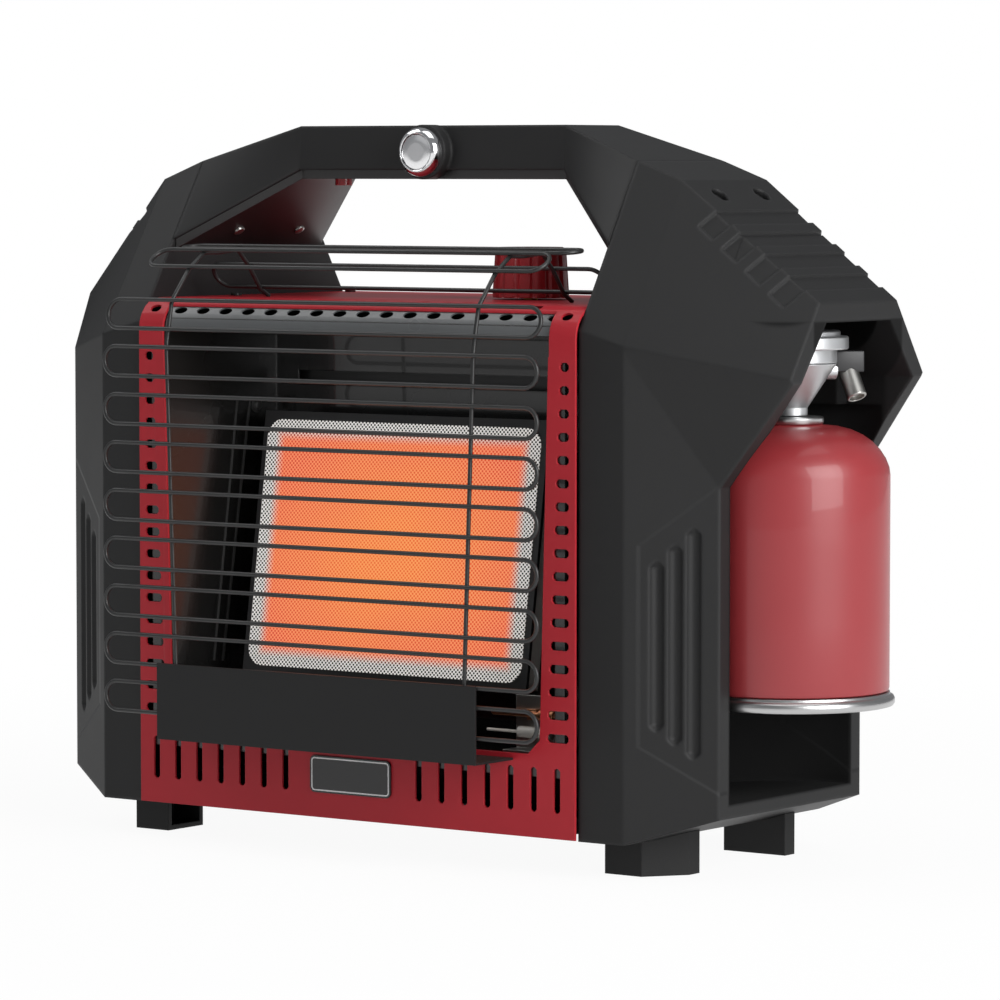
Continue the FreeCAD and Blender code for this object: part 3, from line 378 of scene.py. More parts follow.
# Near the rim the holes are painted black, the shade seen through them.
rim_colour = blend(tree, holes, (0.80, 0.79, 0.77, 1), (0.015, 0.015, 0.015, 1))
tree.links.new(blend(tree, lit, rim_colour, (0.06, 0.02, 0.01, 1)), shader.inputs["Base Color"])
# The rim's wires get a pale grey glow, a painted highlight on cool steel.
rim_painted_glow = blend(tree, holes, (0.42, 0.40, 0.38, 1), (0.0, 0.0, 0.0, 1))
tree.links.new(blend(tree, lit, rim_painted_glow, glow), shader.inputs["Emission Color"])
shader.inputs["Emission Strength"].default_value = 1.0
shader.inputs["Roughness"].default_value = 0.55
print("burner face drawn by", len(tree.nodes), "nodes")

# %% [markdown]
# The tile behind the screen is a block of ceramic with thousands of fine bores, and the gas burns in
# them. It shows only past the screen's edge, so a blotchy orange is enough for it.

# %% The ceramic tile
tile_glow = bpy.data.materials.new("tile_glow")
tile_glow.use_nodes = True
tree = tile_glow.node_tree
shader = tree.nodes["Principled BSDF"]
coords = node(tree, "ShaderNodeTexCoord")
blotch = node(tree, "ShaderNodeTexNoise", Scale=30.0, Detail=3.0)
tree.links.new(coords.outputs["Object"], blotch.inputs["Vector"])
hot = ramp(tree, blotch.outputs["Fac"], (0.9, 0.10, 0.02, 1), (1.0, 0.30, 0.05, 1))
tree.links.new(hot, shader.inputs["Emission Color"])
tree.links.new(hot, shader.inputs["Base Color"])
shader.inputs["Emission Strength"].default_value = 0.8
print("tile drawn by", len(tree.nodes), "nodes")

# %% [markdown]
# Each part of the frame now gets its finish: the shells and the handle their moulded black, the front its
# red powder coat, the hidden fittings brass, copper and zinc as they are bought. A part that a finer piece
# replaces further down is painted too, so that none is bare.

# %% Paint the CAD nodes
PAINT = {
    shell_black: ["right_side_shell", "left_side_shell", "handle_shell"],
    liner_black: ["handle_liner", "tip_switch_housing", "outlet_block", "piezo_unit"],
    foot_black: ["foot_front_right", "foot_front_left", "foot_rear_right", "foot_rear_left"],
    front_red: ["front_panel"],
    steel_black: ["rear_cover", "floor_pan", "burner_brackets", "burner_frame", "burner_plenum", "heat_shield"],
    plate_black: ["guard_plate"],
    wire_black: ["guard_grille"],
    chamber_black: ["reflector_chamber"],
    screen_glow: ["burner_screen"],
    tile_glow: ["burner_tile"],
    gasket_white: ["burner_gasket"],
    zinc_steel: ["mixing_tube", "pilot_bracket",
                 "injector_bracket", "tube_collar", "tip_pendulum", "regulator_bracket", "outlet_barrel"],
    copper_pipe: ["thermocouple", "supply_pipe", "burner_pipe"],
    insulator: ["spark_electrode"],
    brass: ["gas_valve", "valve_stem", "injector"],
    knob_red: ["control_knob", "handle_lock_pin"],
    can_red: ["canister_body"],
    can_silver: ["canister_rim", "canister_valve"],
    cast_grey: ["regulator_adaptor", "regulator_body", "regulator_cap"],
    badge_gloss: ["badge_plate"],
    chrome: ["igniter_bezel"],
    button_silver: ["igniter_button", "igniter_spring"],
    screw_black: ["handle_screws", "deck_screws", "rear_screws"],
}
for material, names in PAINT.items():
    for title in names:
        for place in nodes[title].material_slots:
            place.material = material
print("unpainted", sorted(set(nodes) - {title for names in PAINT.values() for title in names}))

# %% [markdown]
# Turned pieces are modelled as on a lathe: a circle is added, then extruded and resized ring by ring up
# its outline. That keeps the rings in order and needs no profile tables beyond a few radii and heights.

# %% Helpers for modelling by hand


def start_clean():
    """Leaves edit mode and deselects everything."""
    if bpy.context.object and bpy.context.object.mode != "OBJECT":
        bpy.ops.object.mode_set(mode="OBJECT")
    bpy.ops.object.select_all(action="DESELECT")


def pick(obj, kind, test):
    """Selects the edges or faces of a mesh that pass a test, and opens it in edit mode."""
    start_clean()
    obj.select_set(True)
    bpy.context.view_layer.objects.active = obj
    bpy.context.tool_settings.mesh_select_mode = (False, kind == "edges", kind == "faces")
    mesh = obj.data
    for part in (mesh.vertices, mesh.edges, mesh.polygons):
        part.foreach_set("select", [False] * len(part))
    found = 0
    for item in (mesh.edges if kind == "edges" else mesh.polygons):
        item.select = bool(test(item))
        found += item.select
    bpy.ops.object.mode_set(mode="EDIT")
    return found


def runs_deep(obj, edge):
    """True for an edge that runs from the front of a plate to its back."""
    a, b = (obj.data.vertices[i].co for i in edge.vertices)
    return abs(a.x - b.x) + abs(a.z - b.z) < 1e-5


def settle(obj, title, material, body, replaced=(), smooth=35):
    """Names a finished piece, puts its place in its mesh, paints it and lets it ride."""
    start_clean()
    obj.select_set(True)
    bpy.context.view_layer.objects.active = obj
    bpy.ops.object.transform_apply(location=True, rotation=True, scale=True)
    bpy.ops.object.mode_set(mode="EDIT")
    bpy.ops.mesh.select_all(action="SELECT")
    bpy.ops.mesh.normals_make_consistent(inside=False)
    bpy.ops.object.mode_set(mode="OBJECT")
    if smooth:
        bpy.ops.object.shade_smooth_by_angle(angle=math.radians(smooth))
    obj.name = title
    obj.data.materials.clear()
    obj.data.materials.append(material)
    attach(obj, body)
    if replaced:
        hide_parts(*replaced)
    return obj


def turned(outline, centre, steps=64, along="Z"):
    """A closed turned solid from (radius, height) pairs in millimetres, lowest first."""
    start_clean()
    bpy.ops.mesh.primitive_circle_add(vertices=steps, radius=outline[0][0] * MM, fill_type="NGON",
                                      location=(0, 0, outline[0][1] * MM))
    made = bpy.context.object
    bpy.ops.object.transform_apply(location=True)
    bpy.ops.object.mode_set(mode="EDIT")
    bpy.ops.mesh.select_all(action="SELECT")
    radius, height = outline[0]
    for r, h in outline[1:]:
        bpy.ops.mesh.extrude_region_move(TRANSFORM_OT_translate={"value": (0, 0, (h - height) * MM)})
        if r != radius:
            share = r / radius
            bpy.ops.transform.resize(value=(share, share, 1), center_override=(0, 0, h * MM))
        radius, height = r, h
    bpy.ops.object.mode_set(mode="OBJECT")
    if along == "Y":
        made.rotation_euler = (math.radians(-90), 0, 0)
    made.location = centre
    return made


def joined(pieces):
    """One object from several; the first gives its name."""
    start_clean()
    for piece in pieces:
        piece.select_set(True)
    bpy.context.view_layer.objects.active = pieces[0]
    bpy.ops.object.join()
    return bpy.context.object


def own_copy(source):
    """A copy of an object with a mesh of its own."""
    made = source.copy()
    made.data = source.data.copy()
    bpy.context.collection.objects.link(made)
    return made


print("modelling helpers ready")

# %% [markdown]
# The canister is a drawn can: a straight wall, a rounded shoulder and dome, a rolled seam at the foot and
# a tinplate valve cup on top. The frame has it with few sides, so a turned piece with many replaces it.

# %% The gas canister
SHOULDER_Z, NECK_R, SHOULDER_W, SHOULDER_H = 219.5, 18.2, 36.8, 27.0
body_outline = [(50.0, 99.7), (53.4, 99.8), (54.6, 100.6), (55.0, 102.0), (55.0, 140), (55.0, 180),
                (55.0, SHOULDER_Z)]
for i in range(1, 9):
    a = math.radians(11.25 * i)
    body_outline.append((NECK_R + SHOULDER_W * math.cos(a) ** 0.92, SHOULDER_Z + SHOULDER_H * math.sin(a) ** 1.15))
body_outline.append((16.0, 248.0))
canister = turned(body_outline, at(CAN_X, 0, 0), steps=128)
settle(canister, "canister_can", can_red, "canister", ("canister_body",))
rim_outline = [(50.5, 95.6), (53.0, 92.6), (55.5, 91.9), (57.2, 92.3), (58.0, 93.6), (58.0, 96.0), (57.2, 97.4),
               (55.6, 98.2), (55.2, 99.6), (50.0, 99.65)]
rim = turned(rim_outline, at(CAN_X, 0, 0), steps=128)
settle(rim, "canister_foot_seam", can_silver, "canister", ("canister_rim",))
cup_outline = [(15.0, 247.2), (17.8, 247.5), (18.2, 248.1), (18.2, 250.5), (17.6, 251.2), (7.0, 251.3),
               (5.5, 251.9), (5.5, 261.0), (4.6, 261.7)]
cup = turned(cup_outline, at(CAN_X, 0, 0), steps=96)
settle(cup, "canister_valve_cup", can_silver, "canister", ("canister_valve",))
print("canister", body_outline[-1][1], "mm high,", len(canister.data.polygons), "faces")

# %% [markdown]
# Over the valve sits the regulator, a zinc die casting: a cone that takes the canister's thread, and a
# wide flat drum with the spring and the membrane in it. Both are round, so both are turned.

# %% The regulator above the canister
adaptor_outline = [(6.0, 251.8), (8.8, 251.8), (9.2, 252.2), (9.2, 256.2), (9.6, 256.8), (25.0, 280.2),
                   (25.3, 280.6)]
adaptor = turned(adaptor_outline, at(CAN_X, 0, 0), steps=96)
settle(adaptor, "regulator_cone", cast_grey, "housing", ("regulator_adaptor",), smooth=30)
drum_outline = [(24.8, 280.9), (25.3, 281.3), (25.3, 288.4), (31.0, 288.5), (31.7, 289.2), (31.7, 295.0),
                (31.0, 295.7), (27.3, 295.8), (27.1, 296.0), (27.1, 298.2), (26.4, 298.8), (12.0, 298.9)]
drum = turned(drum_outline, at(CAN_X, 0, 0), steps=96)
settle(drum, "regulator_drum", cast_grey, "housing", ("regulator_body", "regulator_cap"),
       smooth=30)
print("regulator top", drum_outline[-1][1], "mm")

# %% [markdown]
# The regulator's outlet is a square black block with a steel barrel that leans down and forward out of
# it. The block is a box with its edges bevelled, and the barrel is a turned piece that a direction leans.

# %% The regulator's outlet
BLOCK_SIZE, BLOCK_TURN = (12 * MM, 16.3 * MM, 11.6 * MM), math.radians(-42.6)
NECK_Z = 276.5
block_low, block_high = (Vector(c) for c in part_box("outlet_block"))
block_at = (block_low + block_high) / 2
start_clean()
bpy.ops.mesh.primitive_cube_add(size=1)
block = bpy.context.object
block.scale = BLOCK_SIZE
bpy.ops.object.transform_apply(scale=True)
bpy.ops.object.mode_set(mode="EDIT")
bpy.ops.mesh.select_all(action="SELECT")
bpy.ops.mesh.bevel(offset=0.7 * MM, segments=3, affect="EDGES")
bpy.ops.object.mode_set(mode="OBJECT")
block.rotation_euler = (0, 0, BLOCK_TURN)
block.location = block_at
settle(block, "outlet_cube", liner_black, "housing", ("outlet_block",))
LEAN = Vector((8.3, -2.9, -15.4)).normalized()
barrel_outline = [(4.4, 0), (5.4, 0.1), (5.6, 0.4), (5.6, 17.2), (5.2, 17.7), (4.2, 17.7), (4.2, 15.0),
                  (1.0, 15.0)]
barrel = turned(barrel_outline, block_at + Vector((0, 0, -4.5 * MM)), steps=48)
barrel.rotation_euler = LEAN.to_track_quat("Z", "Y").to_euler()
settle(barrel, "outlet_tube", zinc_steel, "housing", ("outlet_barrel",), smooth=30)
neck = turned([(4.0, 0), (5.2, 0.2), (5.2, 26.0), (4.0, 26.2)], at(CAN_X, 0, NECK_Z), steps=32)
across = block_at - at(CAN_X, 0, NECK_Z)
neck.rotation_euler = Vector((across.x, across.y, 0)).to_track_quat("Z", "Y").to_euler()
settle(neck, "outlet_neck", cast_grey, "housing", smooth=30)
print("outlet block at", [round(v, 4) for v in block_at])

# %% [markdown]
# The guard is welded from thin round wire: nine long loops in front, three shorter ones that lean back
# over the top, and two bent uprights behind them. One loop of each length is extruded and spun from a
# small circle and then copied; the uprights are curves with a round section, turned to mesh.

# %% The wire guard
WIRE = 1.25
TOP_LOOP_X = 139.0
LOOP_X, LOOP_Y, LOOP_H, LOOP_PITCH, LOOP_TOP = 152.2, 135.2, 16.8, 27.47, 286.3
half = LOOP_H / 2


def wire_loop(end_x):
    """One closed loop about the origin, in the plane of X and Z."""
    start_clean()
    reach = end_x - half
    bpy.ops.mesh.primitive_circle_add(vertices=12, radius=WIRE * MM, location=(-reach * MM, 0, -half * MM),
                                      rotation=(0, math.radians(90), 0))
    made = bpy.context.object
    bpy.ops.object.transform_apply(location=True, rotation=True)
    bpy.ops.object.mode_set(mode="EDIT")
    for side in (1, -1):
        bpy.ops.mesh.extrude_region_move(TRANSFORM_OT_translate={"value": (side * 2 * reach * MM, 0, 0)})
        bpy.ops.mesh.spin(steps=12, angle=math.pi, center=(side * reach * MM, 0, 0), axis=(0, 1, 0))
    bpy.ops.mesh.select_all(action="SELECT")
    bpy.ops.mesh.remove_doubles(threshold=0.00002)
    bpy.ops.object.mode_set(mode="OBJECT")
    return made


patterns = {end_x: wire_loop(end_x) for end_x in (LOOP_X, TOP_LOOP_X)}
loops = []
mid = LOOP_TOP - half
spots = [(-LOOP_Y, mid - LOOP_PITCH * i, 0) for i in range(8)]
spots += [(-131.8, mid + LOOP_PITCH - 0.5, 12), (-107.0, 336.6, 56), (-77.0, 342.2, 85), (-51.0, 325.6, 142)]
for y, z, lean in spots:
    copy = own_copy(patterns[TOP_LOOP_X if lean > 40 else LOOP_X])
    copy.rotation_euler = (math.radians(-lean), 0, 0)
    copy.location = at(0, y, z)
    loops.append(copy)
for pattern in patterns.values():
    bpy.data.objects.remove(pattern)
print("guard loops", len(loops))

# %% [markdown]
# The uprights run behind the loops and touch each one, because a spot weld joins wire to wire there. So
# the path is worked out from the loops' own places and leans.

# %% The guard's uprights
UPRIGHT_X, FOOT_X, FOOT_Z = 108.0, 100.5, 64.6
WELD = 2 * WIRE - 0.5  # from a loop's middle to the upright's, with a little overlap for the weld
arch = [(-(LOOP_Y - WELD), LOOP_TOP)]
for y, z, lean in spots[8:]:
    sin, cos = math.sin(math.radians(lean)), math.cos(math.radians(lean))
    arch += [(y + end * sin * half + cos * WELD, z + end * cos * half - sin * WELD) for end in (-1, 1)]
arch += [(-39.5, 313.6)]
for side in (-1, 1):
    path = [(side * FOOT_X, -(LOOP_Y - WELD), FOOT_Z)] + [(side * UPRIGHT_X, y, z) for y, z in arch]
    curve = bpy.data.curves.new("upright", "CURVE")
    curve.dimensions, curve.bevel_depth, curve.bevel_resolution = "3D", WIRE * MM, 3
    curve.use_fill_caps = True
    spline = curve.splines.new("POLY")
    spline.points.add(len(path) - 1)
    for point, (px, py, pz) in zip(spline.points, path):
        point.co = (*at(px, py, pz), 1)
    upright_obj = bpy.data.objects.new("upright", curve)
    bpy.context.collection.objects.link(upright_obj)
    loops.append(upright_obj)
start_clean()
for piece in loops:
    piece.select_set(True)
bpy.context.view_layer.objects.active = loops[0]
bpy.ops.object.convert(target="MESH")
bpy.ops.object.join()
guard = settle(bpy.context.object, "guard_wires", wire_black, "housing", ("guard_grille",),
               smooth=50)
print("guard faces", len(guard.data.polygons))

# %% [markdown]
# The knob is a tapered moulding with fourteen finger flutes round it. It is turned first, and then each
# column of its side that falls in a flute moves in towards the axis, deepest in the flute's middle.

# %% The control knob
knob_outline = [(21.4, 314.1), (21.9, 314.6), (21.8, 318.0), (21.3, 326), (20.8, 334), (20.4, 339.6), (19.8, 341.8),
                (18.4, 342.9), (10.0, 342.95)]
FLUTES, FLUTE_SHARE, FLUTE_DEEP, FLUTE_RISE = 14, 0.36, 0.935, 0.055
FLUTE_LOW, FLUTE_HIGH = 314.3 * MM, 342.5 * MM
KNOB_STEPS = 192
knob = turned(knob_outline, (0, 0, 0), steps=KNOB_STEPS)
for vertex in knob.data.vertices:
    place = vertex.co
    spoke = math.atan2(place.y, place.x) / (2 * math.pi) * FLUTES
    wave = abs(spoke - round(spoke)) * 2
    if FLUTE_LOW < place.z < FLUTE_HIGH and wave < FLUTE_SHARE:
        deep = FLUTE_DEEP + FLUTE_RISE * (wave / FLUTE_SHARE) ** 2
        place.x, place.y = place.x * deep, place.y * deep
knob.location = at(50, 2, 0)
settle(knob, "knob_fluted", knob_red, "knob", ("control_knob",), smooth=25)
print("knob columns", KNOB_STEPS, "flutes", FLUTES)

# %% [markdown]
# The igniter is a push button in the handle, set in a ring of chromed brass. The ring is turned about the
# button's axis and its flat end is taken off, which leaves it open for the button; the button itself is a
# plain turned disc that moves in it.

# %% The igniter button and its ring
ring_outline = [(14.1, 1.2), (14.1, -0.8), (13.8, -2.6), (13.0, -4.4), (11.9, -5.5), (10.9, -5.9), (10.4, -5.6),
                (10.4, 2.0)]
ring_face = at(0, -35.4, 397)
bezel = turned(ring_outline, (0, 0, 0), steps=96)
pick(bezel, "faces", lambda f: len(f.vertices) > 4)
bpy.ops.mesh.delete(type="FACE")
bpy.ops.object.mode_set(mode="OBJECT")
bezel.rotation_euler = (math.radians(-90), 0, 0)
bezel.location = ring_face
settle(bezel, "igniter_ring", chrome, "housing", ("igniter_bezel",), smooth=30)
disc_outline = [(5.0, -5.4), (9.2, -5.4), (9.9, -5.1), (10.2, -4.5), (10.2, 1.3), (7.0, 1.4)]
disc = turned(disc_outline, ring_face, steps=96, along="Y")
settle(disc, "igniter_disc", button_silver, "button", ("igniter_button",), smooth=30)
print("igniter faces", len(bezel.data.polygons), len(disc.data.polygons))

# %% [markdown]
# The red sheet rolls back over the top of the opening. Its opening runs up over the roll, a row of small
# slots lies in the strip that is left, and each post has one more round hole. A press would punch all of
# them flat before the sheet is rolled. Here a copy of the frame's panel is merged and cut with one joined
# cutter, which keeps every other edge where the frame has it.

# %% The red front with its open roll
HOLE_FIRST, HOLE_PITCH_X, HOLES = -128.0, 16.5, 16
ROLL_Y, ROLL_Z = -84.2, 295.0


def on_roll(radius, degrees):
    """A (y, z) place on the roll; the angle opens from straight up towards the front."""
    a = math.radians(degrees)
    return ROLL_Y - radius * math.sin(a), ROLL_Z + radius * math.cos(a)


def blocks(rows, round_rows=()):
    """Joined square and round cutters from (x, y, z, width, depth, height, tilt) rows."""
    made = []
    for row in [*rows, *round_rows]:
        x, y, z, w, d, h, tilt = row
        start_clean()
        pose = {"location": at(x, y, z), "rotation": (math.radians(tilt), 0, 0)}
        if row in round_rows:
            bpy.ops.mesh.primitive_cylinder_add(vertices=28, radius=0.5, depth=1, **pose)
        else:
            bpy.ops.mesh.primitive_cube_add(size=1, **pose)
        made.append(bpy.context.object)
        made[-1].scale = (w * MM, d * MM, h * MM)
        bpy.ops.object.transform_apply(location=True, rotation=True, scale=True)
    return joined(made)


def cut_with(target, cutter):
    """Cuts one piece with another, which is removed."""
    modifier = target.modifiers.new("cut", "BOOLEAN")
    modifier.operation, modifier.object, modifier.solver = "DIFFERENCE", cutter, "EXACT"
    modifier.use_self = True
    start_clean()
    target.select_set(True)
    bpy.context.view_layer.objects.active = target
    bpy.ops.object.modifier_apply(modifier=modifier.name)
    bpy.data.objects.remove(cutter)


start_clean()
front = own_copy(nodes["front_panel"])
front.select_set(True)
bpy.context.view_layer.objects.active = front
bpy.ops.object.mode_set(mode="EDIT")
bpy.ops.mesh.select_all(action="SELECT")
bpy.ops.mesh.remove_doubles(threshold=0.00001)
bpy.ops.object.mode_set(mode="OBJECT")
ROLL_R, SLOT_AT, SLOT_LEAN, POST_X, POST_AT = 18, 21, 65, 145.3, 47
slot_y, slot_z = on_roll(ROLL_R, SLOT_AT)
OPENING = (0, -103.0, 307.5, 273.0, 18.0, 45.0, 0)
rows = [OPENING]
rows += [(HOLE_FIRST + HOLE_PITCH_X * i, slot_y, slot_z, 8.5, 2.4, 7, SLOT_LEAN) for i in range(HOLES)]
post_y, post_z = on_roll(ROLL_R, POST_AT)
post_holes = [(side * POST_X, post_y, post_z, 7.5, 5.4, 8, POST_AT) for side in (-1, 1)]
cut_with(front, blocks(rows, post_holes))
settle(front, "front_open_roll", front_red, "housing", ("front_panel",), smooth=30)
print("front faces", len(front.data.polygons))

# %% [markdown]
# Behind the roll the chamber's own sheet curves down in the same way, with a row of oval vent holes that
# let hot air out in front of the handle. A thin bar's front face is spun about the roll's axis, and flat
# cylinders cut the holes. It is painted a lighter grey than the black chamber, a painted highlight of the
# polished curve.

# %% The vented lip behind the roll
LIP_R, LIP_SWEEP, VENT_AT = 15.6, 84, 46
LIP_SIZE, VENT_SIZE = (272 * MM, 0.4 * MM, 1.0 * MM), (4.6 * MM, 2.5 * MM, 5 * MM)
start_clean()
bpy.ops.mesh.primitive_cube_add(size=1, location=(0, 0, LIP_R * MM))
lip = bpy.context.object
lip.scale = LIP_SIZE
bpy.ops.object.transform_apply(location=True, scale=True)
pick(lip, "faces", lambda f: f.normal.y < -0.9)
bpy.ops.mesh.spin(steps=14, angle=math.radians(-LIP_SWEEP), center=(0, 0, 0), axis=(1, 0, 0))
bpy.ops.object.mode_set(mode="OBJECT")
lip.location = at(0, ROLL_Y, ROLL_Z)
bpy.ops.object.transform_apply(location=True)
hole_y, hole_z = on_roll(LIP_R, VENT_AT)
vents = []
for i in range(HOLES + 1):
    start_clean()
    bpy.ops.mesh.primitive_cylinder_add(vertices=20, radius=1, depth=1, rotation=(math.radians(VENT_AT), 0, 0),
                                        location=at(HOLE_FIRST + HOLE_PITCH_X * i, hole_y, hole_z))
    vent = bpy.context.object
    vent.scale = VENT_SIZE
    bpy.ops.object.transform_apply(location=True, rotation=True, scale=True)
    vents.append(vent)
cut_with(lip, joined(vents))
settle(lip, "vented_lip", lip_painted_highlight, "housing", smooth=30)
print("lip size", [round(side / MM, 1) for side in lip.dimensions], "mm, faces", len(lip.data.polygons))

# %% [markdown]
# Under the handle a thicker lining shows below the shell's edge. It is drawn through four sections: one
# plane is extruded up one leg, along the bar and down the other leg, and resized at each bend.

# %% The handle's lining
DROP = 4.4
start_clean()
stations = [(-154.2, 346.4, 68.5), (-94.0, 387.0, 25.6), (94.0, 387.0, 25.6), (154.2, 346.4, 68.5)]
x0, z0, half_y = stations[0]
bpy.ops.mesh.primitive_plane_add(size=1, rotation=(0, math.radians(90), 0))
lining = bpy.context.object
lining.scale = ((DROP + 2.0) * MM, 2 * half_y * MM, 1)
bpy.ops.object.transform_apply(rotation=True, scale=True)
lining.location = at(x0, 0, z0 - DROP / 2)
bpy.ops.object.transform_apply(location=True)
bpy.ops.object.mode_set(mode="EDIT")
bpy.ops.mesh.select_all(action="SELECT")
for (xa, za, ya), (xb, zb, yb) in zip(stations, stations[1:]):
    bpy.ops.mesh.extrude_region_move(
        TRANSFORM_OT_translate={"value": ((xb - xa) * MM, 0, (zb - za) * MM)})
    bpy.ops.transform.resize(value=(1, yb / ya, 1), center_override=at(xb, 0, zb))
bpy.ops.object.mode_set(mode="OBJECT")
settle(lining, "handle_lining", lining_gloss, "housing", ("handle_liner",), smooth=None)
print("lining stations", len(stations))

# %% [markdown]
# Two domed screws in each leg hold the lining to the shell. They are turned, and lean with the leg.

# %% The screws in the handle's legs
screw_outline = [(4.4, -2.0), (4.4, 0.4), (3.5, 0.5), (3.3, 1.6), (2.4, 2.1), (1.0, 2.1)]
slope = Vector((60.5, 0, 40.6)).normalized()
for side in (-1, 1):
    for y in (-28.5, 28.5):
        inward = Vector((-side * slope.z, 0, -slope.x))
        spot = at(side * 139.4, y, 351.8)
        head = turned(screw_outline, spot, steps=32)
        head.rotation_euler = inward.to_track_quat("Z", "Y").to_euler()
        title = f"leg_screw_{'left' if side < 0 else 'right'}_{'front' if y < 0 else 'rear'}"
        settle(head, title, zinc_steel, "housing",
               ("handle_screws",) if side < 0 and y < 0 else (), smooth=30)
        print(title, "at", [round(v, 4) for v in spot])

# %% [markdown]
# The chamber's left wall is stiffened by two narrow ribs, which a press would form as folds, and a screw
# holds it to the shell. Each rib is a thin bar laid between two places on the wall, painted a lighter grey
# than the black wall as a painted highlight along the fold.

# %% The ribs and the screw on the chamber's left wall
RIB_ENDS = [((-129.3, -65.5, 101.0), (-124.6, -48.6, 255.0)), ((-127.5, -59.4, 100.4), (-122.0, -40.0, 254.0))]
ribs = []
for low, high in RIB_ENDS:
    a, b = at(*low), at(*high)
    start_clean()
    bpy.ops.mesh.primitive_cube_add(size=1, location=(a + b) / 2,
                                    rotation=(b - a).to_track_quat("Z", "Y").to_euler())
    rib = bpy.context.object
    rib.scale = (1.6 * MM, 1.3 * MM, (b - a).length)
    ribs.append(rib)
settle(joined(ribs), "chamber_ribs", rib_grey, "housing", smooth=None)
wall_screw = turned([(4.6, -0.6), (4.6, 0.4), (3.2, 0.6), (3.0, 1.8), (2.0, 2.4), (0.8, 2.4)],
                    at(-120.9, -35, 249.6), steps=32)
wall_screw.rotation_euler = (0, math.radians(90), 0)
settle(wall_screw, "chamber_screw", rib_grey, "housing", smooth=30)
print("ribs", len(RIB_ENDS))

# %% [markdown]
# The burner screen has rounded corners, so it is modelled from a flat box whose four short edges are
# bevelled, and then leaned back like the frame's.

# %% The burner screen
start_clean()
bpy.ops.mesh.primitive_cube_add(size=1, location=(0, 0, 0))
screen = bpy.context.object
screen.scale = (SCREEN_W, 0.8 * MM, 143 * MM)
bpy.ops.object.transform_apply(scale=True)
print("corner edges", pick(screen, "edges", lambda e: runs_deep(screen, e)))
bpy.ops.mesh.bevel(offset=10 * MM, segments=8, affect="EDGES")
bpy.ops.object.mode_set(mode="OBJECT")
screen.rotation_euler = (-TILT, 0, 0)
screen.location = tile_middle
settle(screen, "burner_face", screen_glow, "housing", ("burner_screen",), smooth=None)

# %% [markdown]
# A small plate sits in the middle of the red front. It is bare, apart from a pale line printed round it
# near the edge. The plate is a flat box with its short edges rounded; two insets in its face leave a
# narrow ring of faces, and that ring takes the line's finish.

# %% The bare badge plate, with its line
start_clean()
size = badge_high - badge_low
bpy.ops.mesh.primitive_cube_add(size=1, location=(badge_low + badge_high) / 2)
badge = bpy.context.object
badge.scale = size
bpy.ops.object.transform_apply(location=True, scale=True)
pick(badge, "edges", lambda e: runs_deep(badge, e))
bpy.ops.mesh.bevel(offset=3.2 * MM, segments=6, affect="EDGES")
bpy.ops.object.mode_set(mode="OBJECT")
pick(badge, "faces", lambda f: f.normal.y < -0.9)
bpy.ops.mesh.inset(thickness=1.0 * MM)
bpy.ops.mesh.inset(thickness=0.75 * MM)
bpy.ops.object.mode_set(mode="OBJECT")
settle(badge, "badge_bare", badge_gloss, "housing", ("badge_plate",), smooth=None)
badge.data.materials.append(badge_line)
middle = max((f for f in badge.data.polygons if f.normal.y < -0.9), key=lambda f: len(f.vertices))
inner = set(middle.vertices)
for face in badge.data.polygons:
    if face.index != middle.index and face.normal.y < -0.9 and inner & set(face.vertices):
        face.material_index = 1
print("badge line faces", sum(f.material_index for f in badge.data.polygons))

# %% [markdown]
# The floor is plain and pale. Seen straight or in a reflection it shines white by itself, as a lit studio
# sweep does, but near the heater only in part, so that its shadow still falls there. Beyond about a metre
# it is fully white and meets the white world without a line.

# %% Floor and backdrop
sweep = bpy.data.materials.new("studio_sweep")
sweep.use_nodes = True
tree = sweep.node_tree
tree.nodes.clear()
out = node(tree, "ShaderNodeOutputMaterial")
matte = node(tree, "ShaderNodeBsdfDiffuse")
matte.inputs["Color"].default_value = (0.86, 0.86, 0.86, 1)
white = node(tree, "ShaderNodeEmission")
white.inputs["Strength"].default_value = 1.0
FADE, NEAR_WHITE = (0.30, 1.1), 0.94
rays = node(tree, "ShaderNodeLightPath")
mirrored = scalar(tree, "MAXIMUM", rays.outputs["Is Glossy Ray"], rays.outputs["Is Transmission Ray"])
seen = scalar(tree, "MAXIMUM", rays.outputs["Is Camera Ray"], mirrored)
place = node(tree, "ShaderNodeTexCoord")
reach = node(tree, "ShaderNodeVectorMath", operation="LENGTH")
tree.links.new(place.outputs["Object"], reach.inputs[0])
share = scalar(tree, "MULTIPLY", seen, soft_step(tree, reach.outputs["Value"], *FADE, NEAR_WHITE, 1.0))
mixer = node(tree, "ShaderNodeMixShader")
tree.links.new(share, mixer.inputs["Fac"])
tree.links.new(matte.outputs[0], mixer.inputs[1])
tree.links.new(white.outputs[0], mixer.inputs[2])
tree.links.new(mixer.outputs[0], out.inputs["Surface"])
start_clean()
bpy.ops.mesh.primitive_plane_add(size=16, location=(0, 0, -0.0002))
floor = bpy.context.object
floor.name = "studio_floor"
floor.data.materials.append(sweep)
print("floor fades to white from", FADE[0], "to", FADE[1], "m")

# %% [markdown]
# The world is white where the camera sees it, which makes the plain background, and dim as a light, so
# that the softboxes shape the black plastic and the world only fills the shadows.

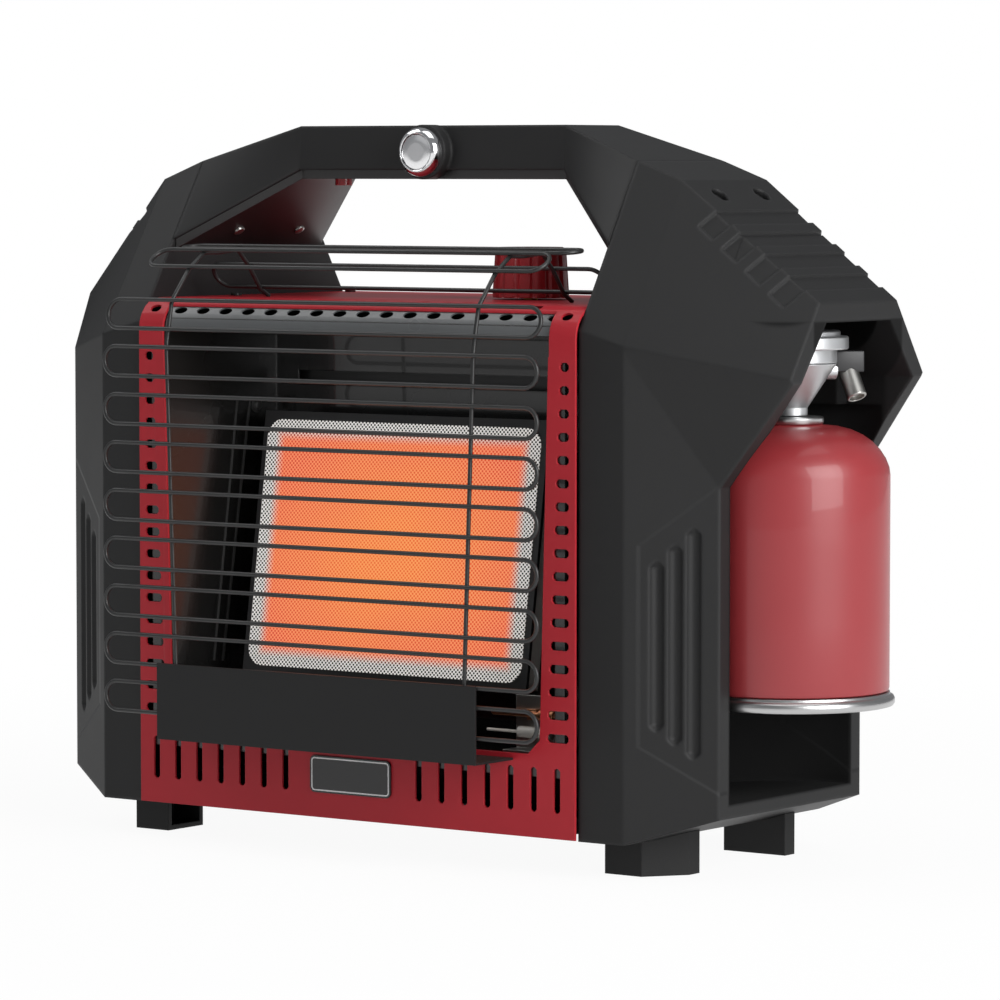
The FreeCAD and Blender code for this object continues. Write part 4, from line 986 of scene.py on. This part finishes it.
# %% The world
world = bpy.data.worlds.new("studio")
bpy.context.scene.world = world
world.use_nodes = True
tree = world.node_tree
tree.nodes.clear()
out = node(tree, "ShaderNodeOutputWorld")
seen_sky = node(tree, "ShaderNodeBackground")
seen_sky.inputs["Color"].default_value = (1, 1, 1, 1)
lit_sky = node(tree, "ShaderNodeBackground")
lit_sky.inputs["Color"].default_value = (0.95, 0.97, 1.0, 1)
lit_sky.inputs["Strength"].default_value = 0.24
rays = node(tree, "ShaderNodeLightPath")
mixer = node(tree, "ShaderNodeMixShader")
seen = scalar(tree, "MAXIMUM", rays.outputs["Is Camera Ray"], rays.outputs["Is Transmission Ray"])
tree.links.new(seen, mixer.inputs["Fac"])
tree.links.new(lit_sky.outputs[0], mixer.inputs[1])
tree.links.new(seen_sky.outputs[0], mixer.inputs[2])
tree.links.new(mixer.outputs[0], out.inputs["Surface"])

print("world light", lit_sky.inputs["Strength"].default_value)

# %% [markdown]
# Four large soft lamps light the heater, as in a product studio: a strong one from the right for the
# canister and the side, a weak one in front for the red sheet, and two high ones whose reflections lift
# the slanted faces of the shells off the upright ones.

# %% Lamps
SOFTBOXES = [  # name, place and aim in metres, width, height, watts
    ("right_softbox", (2.2, -0.5, 1.0), (0.1, 0, 0.2), 1.6, 1.6, 58),
    ("front_softbox", (-0.9, -2.2, 1.3), (0, 0, 0.2), 1.4, 1.2, 1.5),
    ("top_softbox", (0.3, -0.1, 2.3), (0, 0, 0.2), 1.8, 1.4, 12),
    ("left_softbox", (-1.4, -0.4, 1.9), (0, 0, 0.25), 1.3, 1.2, 12),
]
for title, spot, aim, width, height, power in SOFTBOXES:
    lamp = bpy.data.lights.new(title, "AREA")
    lamp.shape, lamp.size, lamp.size_y, lamp.energy = "RECTANGLE", width, height, power
    softbox = bpy.data.objects.new(title, lamp)
    bpy.context.collection.objects.link(softbox)
    softbox.location = spot
    softbox.rotation_euler = (Vector(aim) - Vector(spot)).to_track_quat("-Z", "Y").to_euler()
print("softboxes", len(SOFTBOXES), "watts", sum(row[-1] for row in SOFTBOXES))

# %% [markdown]
# The camera stands where a fit of the heater's own edges puts it: well back, turned to the front right
# and looking slightly down, with a long lens.

# %% Camera
TURN, DOWN = math.radians(35.87), math.radians(3.74)
SENSOR, FOCAL = 36.0, 5.132  # the lens is this many sensor widths long
camera_data = bpy.data.cameras.new("view")
camera_data.sensor_width, camera_data.lens = SENSOR, SENSOR * FOCAL
camera_data.clip_end = 60
camera = bpy.data.objects.new("view", camera_data)
bpy.context.collection.objects.link(camera)
camera.location = at(1755.0, -2386.0, 389.9)
camera.rotation_euler = (math.pi / 2 - DOWN, 0, TURN)
bpy.context.scene.camera = camera
bpy.context.scene.view_settings.view_transform = "Standard"
print("camera", [round(v, 3) for v in camera.location], "lens", round(camera_data.lens, 2), "mm")
